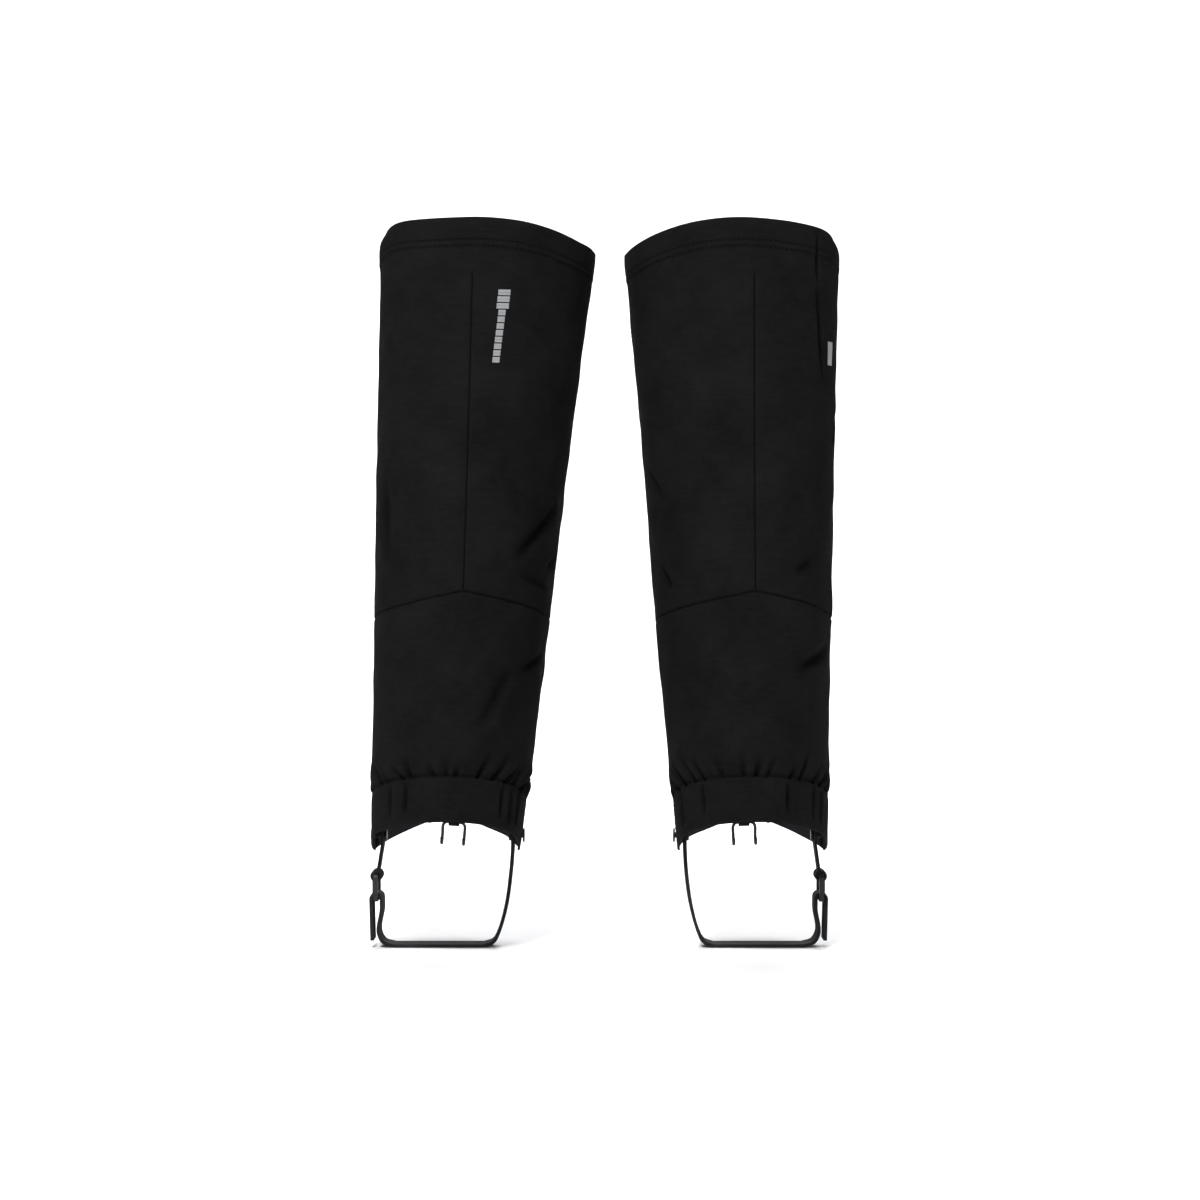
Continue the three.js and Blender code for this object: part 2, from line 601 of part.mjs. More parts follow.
// Webbing runs from its sewn end behind the buckle, round the middle bar and back as the free tail.
// A second, short piece is folded round the front bar and sewn down.
function calfCinch(leg) {
  const pitch = (LOCK.length - LOCK.bar) / 2;
  const eye = Math.hypot(LOCK.bar, LOCK.thick) / 2 + GAP;
  const centre = eye + WEB.thick + GAP; // the buckle's middle above the fabric
  const across = CALF.halfWidth * Math.cos(rad(LOCK.phi));
  const along = CALF.front * Math.sin(rad(LOCK.phi));
  const radius = Math.hypot(across, along) ** 3 / (CALF.halfWidth * CALF.front); // of the calf here
  const roundLeg = (x) => -(x ** 2) / (2 * radius);
  const lying = (x) => V(x, LAYER_GAP + WEB.thick / 2 - centre + roundLeg(x));
  const upright = (outline) =>
    new THREE.ExtrudeGeometry(outline, { depth: WEB.width, bevelEnabled: false, curveSegments: 8 })
      .translate(0, 0, -WEB.width / 2);
  const band = (points) => upright(bandOutline(points, WEB.thick));

  const steps = Array.from({ length: 7 }, (_, i) => i / 6);
  const turn = steps.map((t) => {
    const angle = Math.PI * (t - 0.5);
    return V((eye + WEB.thick / 2) * Math.cos(angle), (eye + WEB.thick / 2) * Math.sin(angle));
  });
  const standing = steps.map((t) => lying(lerp(-WEB.sewn, -pitch, t)));
  const tail = steps.slice(1).map((t) => V(-WEB.tail * t, turn[6].y + roundLeg(WEB.tail * t)));
  const webbing = band([...standing, ...turn, ...tail]);

  const window = (x) => boxAt(pitch - LOCK.bar, 2 * LOCK.thick, LOCK.width - 2 * LOCK.bar, x, 0, 0);
  const lock = cut(boxAt(LOCK.length, LOCK.thick, LOCK.width, 0, 0, 0),
    window(-pitch / 2), window(pitch / 2));

  const ring = new THREE.Shape().absarc(pitch, 0, eye + WEB.thick, 0, 2 * Math.PI);
  const hole = new THREE.Shape().absarc(pitch, 0, eye, 0, 2 * Math.PI);
  const leaf = steps.map((t) => lying(pitch + (eye + WEB.anchor) * t));
  const anchor = cut(join(upright(ring), band(leaf)), upright(hole).scale(1, 1, 1.5));

  const place = (geometry) => cinchPlace(leg, geometry, LOCK.phi, centre);
  return { cinch_webbing: place(webbing), cinch_buckle: place(lock), cinch_anchor: place(anchor) };
}

// ---------------------------------------------------------------- assembly

const FINISH_OF = {
  top_facing: "lining", top_elastic: "elastic", hem_elastic: "elastic",
  hook_strip: "hookLoop", loop_strip: "hookLoop",
  snap_cap: "steel", snap_stud: "steel", lace_hook: "steel", lace_tab: "webbing",
  strap: "rubber", strap_tab: "rubber",
  buckle_frame: "steel", buckle_prong: "steel", post_inner: "steel", post_outer: "steel",
  cinch_webbing: "webbing", cinch_anchor: "webbing", cinch_buckle: "plastic",
};

function gaiter(leg) {
  const pieces = {
    ...fabricPanels(leg),
    ...hemParts(leg),
    ...closureStrips(leg),
    ...pressStud(leg),
    ...laceHook(leg),
    ...instepStrap(leg),
    ...calfCinch(leg),
  };
  const group = new THREE.Group();
  for (const [name, geometry] of Object.entries(pieces)) {
    const mesh = new THREE.Mesh(geometry, MATERIALS[FINISH_OF[name] ?? "shell"]);
    mesh.name = `${leg.name}_${name}`;
    group.add(mesh);
  }
  return group;
}

const pair = new THREE.Group();
LEGS.forEach((leg) => pair.add(gaiter(leg)));

// The origin goes to the bottom centre of the bounding box.
const box = new THREE.Box3().setFromObject(pair);
const centre = box.getCenter(new THREE.Vector3());
pair.position.set(-centre.x, -centre.y, -box.min.z);

export default pair;
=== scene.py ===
# %% [markdown]
# # A pair of mountaineering gaiters
#
# A gaiter is a fabric tube that keeps snow out of a boot. This lesson dresses a measured frame of
# the pair: the frame holds every rigid size and every joint, and the cells below make the cloth, the
# seams, the stitches and the finishes. Everything is in metres, with +Z up and +Y to the toes.

import json
import math

import bmesh
import bpy
import numpy as np
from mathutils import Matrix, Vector
from mathutils.bvhtree import BVHTree


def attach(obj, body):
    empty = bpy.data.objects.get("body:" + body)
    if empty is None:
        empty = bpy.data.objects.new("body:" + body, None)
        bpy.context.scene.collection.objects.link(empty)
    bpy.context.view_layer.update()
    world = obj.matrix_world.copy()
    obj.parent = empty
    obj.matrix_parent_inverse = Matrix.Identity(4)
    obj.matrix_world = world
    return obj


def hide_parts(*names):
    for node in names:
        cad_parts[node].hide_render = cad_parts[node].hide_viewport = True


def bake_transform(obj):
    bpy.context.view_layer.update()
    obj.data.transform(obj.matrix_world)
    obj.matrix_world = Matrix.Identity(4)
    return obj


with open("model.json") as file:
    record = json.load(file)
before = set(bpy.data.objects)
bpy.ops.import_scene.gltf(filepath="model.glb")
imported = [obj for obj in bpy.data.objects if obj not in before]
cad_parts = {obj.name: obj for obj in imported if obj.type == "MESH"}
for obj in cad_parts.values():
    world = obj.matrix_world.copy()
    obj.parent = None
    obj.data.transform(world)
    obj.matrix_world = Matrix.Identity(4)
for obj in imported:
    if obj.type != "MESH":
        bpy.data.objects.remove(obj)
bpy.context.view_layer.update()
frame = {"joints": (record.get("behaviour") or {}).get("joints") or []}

# %% [markdown]
# ## The camera
#
# The pair is seen from behind, from about two metres, at a little under half the gaiters' height.
# The camera is level, so upright seams stay upright.

# %% Camera
CAMERA_AT = (-0.0018, -1.8323, 0.243)
LENS_MM = 78.6


def new_object(name, data):
    """A new object in the scene that holds some data."""
    made = bpy.data.objects.new(name, data)
    bpy.context.scene.collection.objects.link(made)
    return made


camera_data = bpy.data.cameras.new("camera")
camera_data.lens = LENS_MM
camera_data.sensor_width = 36
camera_data.clip_end = 50
camera = new_object("camera", camera_data)
camera.location = CAMERA_AT
camera.rotation_euler = (math.radians(90), 0, 0)
bpy.context.scene.camera = camera
print("camera", CAMERA_AT, "lens", LENS_MM)

# %% [markdown]
# ## Floor and light
#
# A pale floor that curves up behind the object has no horizon line. The main light is high, above the
# viewer's left shoulder, and small enough to model folds in black cloth. A weak one fills the right side,
# one shows the front, and the last one only whitens the floor where it rises behind the pair.

# %% Floor
FLOOR_HALF = 6.0
FLOOR_BACK = 5.0
CURVE_R, CURVE_STEPS = 2.0, 16


def floor_profile():
    """Points (y, z) of the floor, from in front of the object to the top of the backdrop."""
    points = [(-FLOOR_HALF, 0.0), (FLOOR_BACK - CURVE_R, 0.0)]
    for i in range(1, CURVE_STEPS + 1):
        turn = i / CURVE_STEPS * math.pi / 2
        y = FLOOR_BACK - CURVE_R + CURVE_R * math.sin(turn)
        points.append((y, CURVE_R - CURVE_R * math.cos(turn)))
    return points + [(FLOOR_BACK, FLOOR_HALF)]


def principled(name, color, rough, metal=0.0, specular=0.5):
    """A new material and its main shader, with constants on the shader's own sockets."""
    material = bpy.data.materials.new(name)
    material.use_nodes = True
    shader = material.node_tree.nodes["Principled BSDF"]
    shader.inputs["Base Color"].default_value = (*color, 1)
    shader.inputs["Roughness"].default_value = rough
    shader.inputs["Metallic"].default_value = metal
    shader.inputs["Specular IOR Level"].default_value = specular
    return material, shader


floor_mesh = bpy.data.meshes.new("floor")
line = floor_profile()
floor_mesh.from_pydata(
    [(x, y, z) for x in (-FLOOR_HALF, FLOOR_HALF) for y, z in line],
    [],
    [(i, len(line) + i, len(line) + i + 1, i + 1) for i in range(len(line) - 1)],
)
floor_mesh.polygons.foreach_set("use_smooth", [True] * len(floor_mesh.polygons))
floor = new_object("floor", floor_mesh)
floor_mesh.materials.append(principled("pale_floor", (0.86, 0.86, 0.87), 0.9, specular=0.1)[0])
print("floor", 2 * FLOOR_HALF, "m wide")

# %% Lights


def soft_light(name, at, aim, size, watts):
    """An area light that faces a point."""
    data = bpy.data.lights.new(name, "AREA")
    data.shape = "DISK"
    data.size = size
    data.energy = watts
    light = new_object(name, data)
    light.location = at
    light.rotation_euler = (Vector(aim) - Vector(at)).to_track_quat("-Z", "Y").to_euler()


MIDDLE = (0, 0, 0.25)
soft_light("key_light", (-0.6, -2.0, 2.6), MIDDLE, 0.8, 116)
soft_light("fill_light", (1.9, -2.4, 1.0), MIDDLE, 1.4, 8)
soft_light("front_light", (0.1, 2.4, 1.3), MIDDLE, 0.6, 32)
soft_light("backdrop_light", (0, 2.0, 3.6), (0, 4.4, 0.4), 3.0, 230)

world = bpy.data.worlds.new("surround")
bpy.context.scene.world = world
world.use_nodes = True
world.node_tree.nodes["Background"].inputs["Color"].default_value = (1, 1, 1, 1)
world.node_tree.nodes["Background"].inputs["Strength"].default_value = 0.22
bpy.context.scene.view_settings.view_transform = "Standard"
print("four soft lights and a pale surround")

# %% [markdown]
# ## The leg tube
#
# All the cloth lies on one surface. At each height its section is a half ellipse at the back and a
# deeper one at the front, and each leg leans a little. The frame has the same rule, so cloth made
# from it fits the frame with no fitting. Angles are in degrees round the leg: 0 is straight back,
# +90 the outer side, 180 the front and -90 the inner side.

# %% The surface of a leg
CALF_Z, CALF_HALF, CALF_BACK, CALF_FRONT, CALF_Y = 0.485, 0.0745, 0.068, 0.068, 0.0
ANKLE_Z, ANKLE_HALF, ANKLE_BACK, ANKLE_FRONT, ANKLE_Y = 0.068, 0.052, 0.066, 0.100, 0.008
CALF_SWELL = 0.005
ORIGIN_SHIFT = (-0.001250, -0.018172)
FABRIC = 0.0012
SIDE_SEAM = 95.0
FLAP_HINGE, FLAP_EDGE, UNDERLAP_EDGE = 158.0, 195.0, 204.0
STACK = 0.0051  # how far the underlap lies under the flap's outer face
LEGS = {
    "left": {"side": -1, "foot": 0.108, "lean": 0.030, "outer_rise": 0.0128, "back_seam": (-3.0, 6.0)},
    "right": {"side": 1, "foot": 0.105, "lean": 0.015, "outer_rise": 0.0082, "back_seam": (4.5, 10.0)},
}
RIM_SIDE, RIM_BACK, RIM_FRONT = CALF_Z - 0.003, 0.016, -0.004  # the sides' height, and the rise from it
RIM_PEAK, RIM_PEAK_WIDE = 66, 36  # where the rim stands higher on the outer side, and how widely
HEM_BACK, HEM_FRONT = 0.026, 0.020  # how far the hem rises at the back and at the front
CHEVRON_Z, CHEVRON_FALL = 0.249, 0.020
GATHER_Z, GATHER_FALL = 0.125, 0.022
MM = 0.001


def smooth(x, low, high):
    t = np.clip((x - low) / (high - low), 0, 1)
    return t * t * (3 - 2 * t)


def half_width(z):
    return ANKLE_HALF + (CALF_HALF - ANKLE_HALF) * (z - ANKLE_Z) / (CALF_Z - ANKLE_Z)


def on_leg(leg, phi, z, off=0.0):
    """Points at angles and heights on one leg, `off` metres outside its fabric."""
    t = (z - ANKLE_Z) / (CALF_Z - ANKLE_Z)
    half = half_width(z)
    back = ANKLE_BACK + (CALF_BACK - ANKLE_BACK) * t + CALF_SWELL * np.sin(np.pi * np.clip(t, 0, 1) ** 1.6)
    front = ANKLE_FRONT + (CALF_FRONT - ANKLE_FRONT) * t
    sin, cos = np.sin(np.radians(phi)), np.cos(np.radians(phi))
    depth = np.where(cos > 0, back, front)
    nx, ny = depth * sin, -half * cos
    size = np.hypot(nx, ny)
    side = LEGS[leg]["side"]
    x = side * (LEGS[leg]["foot"] - LEGS[leg]["lean"] * t + half * sin + off * nx / size)
    y = ANKLE_Y + (CALF_Y - ANKLE_Y) * t - depth * cos + off * ny / size
    return np.stack([x + ORIGIN_SHIFT[0], y + ORIGIN_SHIFT[1], z + 0 * x], axis=-1)


def turned(phi):
    """How far an angle is from the back, from 0 to 180."""
    return np.abs((phi + 540) % 360 - 180)


# Every edge line takes a leg and an angle and gives a height, even where the two legs are alike.
def rim_z(leg, phi):
    c = np.cos(np.radians(phi))
    level = RIM_SIDE + np.where(c > 0, RIM_BACK, RIM_FRONT) * c * c
    return level + LEGS[leg]["outer_rise"] * np.exp(-(((phi - RIM_PEAK) / RIM_PEAK_WIDE) ** 2))


def hem_z(leg, phi):
    t = turned(phi)
    back = HEM_BACK * (1 - np.clip(t / SIDE_SEAM, 0, 1) ** 2)
    front = HEM_FRONT * np.clip((t - SIDE_SEAM) / (180 - SIDE_SEAM), 0, 1) ** 1.5
    return ANKLE_Z + np.where(t <= SIDE_SEAM, back, front)


def back_seam(leg, share=0.0):
    """The back seam's angle, from the chevron (0) to the rim (1)."""
    low, high = LEGS[leg]["back_seam"]
    return low + (high - low) * share


def chevron_z(leg, phi):
    return CHEVRON_Z - CHEVRON_FALL * np.abs(phi - back_seam(leg)) / 90


def gather_z(leg, phi):
    return GATHER_Z - GATHER_FALL * (phi / SIDE_SEAM) ** 2


for leg in LEGS:
    print(leg, "back of the calf at", np.round(on_leg(leg, np.array(0.0), np.array(0.48)), 4))

# %% [markdown]
# ## Folds
#
# Worn cloth is never a clean tube. The folds are one height field per leg, added along the surface's
# outward direction, and every panel reads the same field, so neighbours meet at their seams. A crease
# is a valley along a stroke from one point to another, with a soft shoulder on each side. A pucker
# starts sharp and deep at the gather seam and opens into a fan above it. The few large creases are
# listed one by one. The puckers come from a seeded draw, so the cloth is the same on every run.

# %% Creases and puckers
# The large creases, in degrees and mm: angle and height at each end, then width and depth.
CREASES = {
    "left": [
        (-70, 310, -35, 270, 5, 3), (-90, 275, -65, 265, 3, 2.5), (-40, 260, -70, 250, 3, 1.5),
        (-75, 205, -50, 195, 3.5, 2.5), (-40, 195, -20, 155, 5, 2), (60, 330, 55, 265, 6, 2),
        (100, 300, 120, 250, 6, 2),
    ],
    "right": [
        (50, 495, 50, 455, 2, 2.5), (50, 455, 55, 390, 2.5, 3), (85, 375, 70, 350, 4, 3),
        (-70, 330, -55, 310, 4, 2), (-65, 265, -55, 250, 3, 3), (45, 270, 30, 260, 4, 2),
        (80, 260, 85, 220, 3.5, 3), (70, 210, 30, 195, 5, 3), (100, 330, 115, 270, 6, 2),
    ],
}
BAND_FOLDS = {"left": (-65, -55, -45, 30, 45), "right": (-65, -40, 25, 50, 60)}  # angles, in the hem band
PUCKER_COUNT, PUCKER_REACH = 15, 86.0
PUCKER_LEAN, PUCKER_TALL, PUCKER_WIDE, PUCKER_DEEP = 0.3, 14.0, 2.7, 2.8


def band_creases(leg):
    """Upright folds from the gather seam down to the hem."""
    for phi in BAND_FOLDS[leg]:
        at = np.array(float(phi))
        yield phi, gather_z(leg, at) / MM - 2, phi, hem_z(leg, at) / MM + 6, 2, 2.6


def pucker_list(leg):
    """Puckers along the gather seam: angle, lean, height, width and depth, all unequal as gathers are."""
    draw = np.random.default_rng([5, 1 if leg == "left" else 2])
    for k, (slip, tilt, tall, wide, deep) in enumerate(draw.uniform(-1, 1, (PUCKER_COUNT, 5))):
        at = PUCKER_REACH * (2 * (k + 0.5 + 0.35 * slip) / PUCKER_COUNT - 1)
        yield (at, PUCKER_LEAN * at + 4 * tilt, PUCKER_TALL * (1 + 0.5 * tall),
               PUCKER_WIDE * (1 + 0.25 * wide), PUCKER_DEEP * (1 + 0.35 * deep))


PUCKERS = {leg: list(pucker_list(leg)) for leg in LEGS}
for leg in LEGS:
    CREASES[leg] += band_creases(leg)
    print(leg, len(CREASES[leg]), "creases and", len(PUCKERS[leg]), "puckers")

# %% The fold field
CREASE_DEPTH, PUCKER_DEPTH = 1.5, 1.6
WAVE_HIGH, RIPPLE_HIGH = 0.00030, 0.00010
GATHER_SWELL, GATHER_PINCH = 0.0012, 0.0006
RIM_TUCK, RIM_TUCK_OUTER = 0.0006, 0.0030  # how far the rim turns in, all round and more on the outer side


def valley(phi, z, start, end):
    """How far along a stroke each point lies, from 0 to 1, and how far beside it, in metres."""
    (phi_a, z_a), (phi_b, z_b) = start, end
    ax, bx = math.radians(phi_a) * half_width(z_a), math.radians(phi_b) * half_width(z_b)
    dx, dz = bx - ax, z_b - z_a
    x = np.radians(phi) * half_width(z)
    along = ((x - ax) * dx + (z - z_a) * dz) / (dx * dx + dz * dz)
    beside = ((x - ax) * dz - (z - z_a) * dx) / math.hypot(dx, dz)
    return along, beside


def groove(beside, width):
    s = beside / width
    return -np.exp(-(s**2)) + 0.32 * np.exp(-((s / 2.3) ** 2))


def strokes(leg, phi, z):
    field = np.zeros(phi.shape)
    for phi_a, z_a, phi_b, z_b, wide, deep in CREASES[leg]:
        along, beside = valley(phi, z, (phi_a, z_a * MM), (phi_b, z_b * MM))
        fade = np.clip(1 - (2 * along - 1) ** 2, 0, 1) ** 0.8
        field += CREASE_DEPTH * deep * MM * fade * groove(beside, wide * MM)
    for at, lean, tall, wide, deep in PUCKERS[leg]:
        seam = float(gather_z(leg, np.array(float(at))))
        along, beside = valley(phi, z, (at, seam), (at + lean, seam + tall * MM))
        fade = np.clip(1 - along, 0, 1) ** 0.8 * smooth(along * tall * MM, -0.0012, 0.0006)
        fan = 0.6 + 0.9 * np.clip(along, 0, 1)
        field += PUCKER_DEPTH * deep * MM * fade * groove(beside, wide * MM * fan)
    return field


def drape(leg, phi, z):
    """Long shallow waves, and a few soft cross ripples."""
    field = np.zeros(phi.shape)
    draw = np.random.default_rng([11, 1 if leg == "left" else 2])
    for a, b, c, d, e, f in draw.uniform(-1, 1, (9, 6)):
        x = np.radians(phi) * 0.06
        across, up = x * (70 + 45 * a) + z * 9 * b + 9 * c, z * (14 + 9 * d) + 9 * e
        field += WAVE_HIGH * np.sin(across) * np.sin(up)
        across, up = x * (190 + 90 * f) + 9 * d, z * (150 + 80 * b) + x * 60 * c + 9 * a
        field += RIPPLE_HIGH * np.sin(across) * np.sin(up)
    return field


def pull(leg, phi, z):
    """The gather seam drawn in a little, the cloth swelling above it, and the rim's turned-in edge."""
    reach = smooth(turned(phi), 112, 88)
    up = z - gather_z(leg, np.clip(phi, -SIDE_SEAM, SIDE_SEAM))
    swell = GATHER_SWELL * np.exp(-(((up - 0.013) / 0.011) ** 2))
    pinch = GATHER_PINCH * np.exp(-((up / 0.003) ** 2))
    tuck = RIM_TUCK_OUTER * np.exp(-(((phi - 82) / 26) ** 2)) + RIM_TUCK
    return reach * (swell - pinch) - tuck * smooth(rim_z(leg, phi) - z, 0.010, 0.0) ** 2


def folds(leg, phi, z):
    """How far the cloth stands out from the plain tube. The flap and the underlap get the same."""
    front = smooth(turned(phi), 118, 146)
    w = np.radians((phi % 360) - 180)
    calm = 0.00022 * np.sin(z * 31 + 2 * w + LEGS[leg]["side"]) + 0.00012 * np.sin(z * 83 - 5 * w)
    posts = 1 - np.exp(-((((turned(phi) - 100) / 57.3 * 0.09) ** 2 + (z - 0.078) ** 2) / 0.010**2))
    worn = (strokes(leg, phi, z) + drape(leg, phi, z)) * posts
    return worn * (1 - front) + calm * front + pull(leg, phi, z) * (1 - front)


grid_phi, grid_z = np.meshgrid(np.linspace(-95, 95, 120), np.linspace(0.1, 0.48, 120))
for leg in LEGS:
    depth = folds(leg, grid_phi, grid_z)
    print(leg, "folds from", round(depth.min() * 1000, 1), "to", round(depth.max() * 1000, 1), "mm")

# %% [markdown]
# ## Fabric finish
#
# The cloth is a three-layer waterproof laminate: a matt black face with a fine plain weave, and a
# dark grey backing. The weave is two crossed waves on the cloth's own map, about twenty threads to the
# centimetre, used as bump and as a very small change of tone. Slow noise makes it uneven, as dye and
# dust do, short cross slubs break it up, and cut edges are rubbed a little paler.

# %% Fabric material


def add(tree, kind, **inputs):
    """A new shader node with some of its inputs set."""
    made = tree.nodes.new(kind)
    for key, value in inputs.items():
        made.inputs[key.replace("_", " ")].default_value = value
    return made


def math_node(tree, operation, first, second, third=None):
    """A maths node; each input is a socket or a number."""
    made = tree.nodes.new("ShaderNodeMath")
    made.operation = operation
    for slot, value in enumerate((first, second, third)):
        if value is None:
            continue
        if isinstance(value, (int, float)):
            made.inputs[slot].default_value = value
        else:
            tree.links.new(value, made.inputs[slot])
    return made.outputs[0]


def cloth_place(tree, name="cloth"):
    place = tree.nodes.new("ShaderNodeUVMap")
    place.uv_map = name
    return place.outputs["UV"]


def object_place(tree):
    return tree.nodes.new("ShaderNodeTexCoord").outputs["Object"]


def stretch(tree, where, scale):
    """The same place, scaled by axis, so noise gets a grain."""
    mapping = add(tree, "ShaderNodeMapping", Scale=scale)
    tree.links.new(where, mapping.inputs["Vector"])
    return mapping.outputs["Vector"]


def wave(tree, where, pitch, direction, distortion=0.5):
    made = add(tree, "ShaderNodeTexWave", Scale=math.tau / pitch / 20, Distortion=distortion, Detail=1.0,
               Detail_Scale=1.5)
    made.bands_direction = direction
    tree.links.new(where, made.inputs["Vector"])
    return made.outputs["Fac"]


def noise(tree, where, scale, detail=4.0, rough=0.55):
    made = add(tree, "ShaderNodeTexNoise", Scale=scale, Detail=detail, Roughness=rough)
    tree.links.new(where, made.inputs["Vector"])
    return made.outputs["Fac"]


def bumps(tree, shader, layers):
    """Stacks bump layers of (height, strength, depth in metres) into the shader's normal."""
    normal = None
    for height, strength, depth in layers:
        bump = add(tree, "ShaderNodeBump", Strength=strength, Distance=depth)
        tree.links.new(height, bump.inputs["Height"])
        if normal:
            tree.links.new(normal, bump.inputs["Normal"])
        normal = bump.outputs["Normal"]
    tree.links.new(normal, shader.inputs["Normal"])


def blend_colors(tree, factor, first, second):
    """A colour mixed from two; each is a colour or a socket."""
    mix = tree.nodes.new("ShaderNodeMix")
    mix.data_type = "RGBA"
    tree.links.new(factor, mix.inputs[0])
    for slot, value in ((6, first), (7, second)):
        if isinstance(value, tuple):
            mix.inputs[slot].default_value = (*value, 1)
        else:
            tree.links.new(value, mix.inputs[slot])
    return mix.outputs[2]


def attribute(tree, name):
    made = tree.nodes.new("ShaderNodeAttribute")
    made.attribute_name = name
    return made.outputs["Fac"]


def vary(tree, shader, factor, low, high):
    """Roughness that follows a texture between two values."""
    span = tree.nodes.new("ShaderNodeMapRange")
    span.inputs["To Min"].default_value = low
    span.inputs["To Max"].default_value = high
    tree.links.new(factor, span.inputs["Value"])
    tree.links.new(span.outputs["Result"], shader.inputs["Roughness"])


CLOTH_ROUGH, CLOTH_SPECULAR, WEAVE_DEPTH = 0.85, 0.01, 0.00013
TONE_MIDDLE = 0.52  # the sum of the patterns at which the darker colour shows alone
# the colour of the painted shade in seams, stitch dents and deep folds
PAINTED_SHADE_COLOR = (0.0012, 0.0012, 0.0013)


def woven(name, dark, pale, backing, thread=0.0005):
    """Plain weave with a pale edge where it is worn, painted shade in seams, stitch dents and deep folds, and
    another colour inside.
    """
    material, shader = principled(name, dark, CLOTH_ROUGH, specular=CLOTH_SPECULAR)
    tree = material.node_tree
    where = cloth_place(tree)
    weave = math_node(tree, "MULTIPLY", wave(tree, where, thread, "X"), wave(tree, where, thread, "Y"))
    slow = noise(tree, where, 24.0, 5.0, 0.6)
    slubs = noise(tree, stretch(tree, where, (0.35, 1.6, 1.0)), 260.0, 3.0, 0.6)
    crumple = noise(tree, stretch(tree, where, (0.7, 1.2, 1.0)), 85.0, 4.0, 0.5)
    tone = math_node(tree, "MULTIPLY_ADD", weave, 0.9, math_node(tree, "MULTIPLY_ADD", slubs, 0.45, slow))
    tone = math_node(tree, "SUBTRACT", tone, TONE_MIDDLE)
    tone = math_node(tree, "MULTIPLY_ADD", attribute(tree, "wear"), 0.3, tone)
    face = blend_colors(tree, tone, dark, pale)
    # painted shade: the "seam" value darkens seams, stitch dents and deep folds
    face = blend_colors(tree, attribute(tree, "seam"), face, PAINTED_SHADE_COLOR)
    color = blend_colors(tree, attribute(tree, "inside"), face, backing)
    tree.links.new(color, shader.inputs["Base Color"])
    vary(tree, shader, slow, CLOTH_ROUGH - 0.1, CLOTH_ROUGH + 0.12)
    shader.inputs["Sheen Weight"].default_value = 0.003
    shader.inputs["Sheen Roughness"].default_value = 0.6
    bumps(tree, shader, [(weave, 0.8, WEAVE_DEPTH), (slubs, 0.3, 0.00025), (crumple, 0.4, 0.0012)])
    return material


SHELL = woven("shell_fabric", (0.0036, 0.0036, 0.0039), (0.0125, 0.0125, 0.0131), (0.028, 0.029, 0.032))
LINING = woven("lining", (0.010, 0.010, 0.012), (0.024, 0.024, 0.027), (0.030, 0.031, 0.034), thread=0.0008)
print("fabric finishes ready")

# %% [markdown]
# ## Cutting the cloth
#
# Each panel is a closed sheet: an outer face, an inner face one fabric thickness inside it, and a
# rounded edge where the edge is free. At a sewn edge the sheet dips over its last two millimetres,
# which makes the crease of a seam. The threads of the mesh crowd together at edges and at stitch
# lines, where the shape changes fastest. A UV map in metres follows the cloth.

# %% A sheet of cloth
EDGE_DIP = 0.0008
PAINTED_FOLD_SHADE = 0.75  # how much painted shade darkens the cloth in a deep fold
HEM_ROWS = (0.0150, 0.0192)  # the twin rows of stitching under the rim
GATHER_ROW = 0.0013  # the row of stitching above the gather seam
SEAM_TOP = 0.461  # above this the back seam is pressed flat inside the top hem
EDGE_ROUND, EDGE_RUB = 0.0006, 0.0025  # how far a free edge is rounded, and rubbed paler
STITCH_DENT = 0.00038
EDGE_STEPS = (0, 0.0003, 0.0007, 0.0012, 0.0019, 0.0028)
ROW_STEPS = (-0.0014, -0.0008, -0.0004, 0, 0.0004, 0.0008, 0.0014)
MAP_RADIUS = 0.066  # turns an angle into metres round the leg on the cloth's map


def marks(*rows):
    """Distances from an edge where the mesh needs a line: the edge itself and rows of stitching."""
    every = sorted({round(m, 5) for m in EDGE_STEPS} | {round(r + s, 5) for r in rows for s in ROW_STEPS})
    kept = [0.0]
    for m in every:
        while m - kept[-1] > 0.0019:
            kept.append(kept[-1] + (m - kept[-1]) / math.ceil((m - kept[-1]) / 0.0017))
        if m - kept[-1] > 0.00024:
            kept.append(m)
    return np.array(kept)


def spread(low, high, from_low, from_high, step):
    """Rows of positions between two edges, dense near each, for arrays of edges."""
    low, high = np.asarray(low)[:, None], np.asarray(high)[:, None]
    first, last = low + from_low[-1], high - from_high[-1]
    count = max(2, round(float(np.mean(last - first)) / step))
    middle = first + (last - first) * np.linspace(0, 1, count + 1)[1:-1]
    return np.concatenate([low + from_low, middle, high - from_high[::-1]], axis=1)


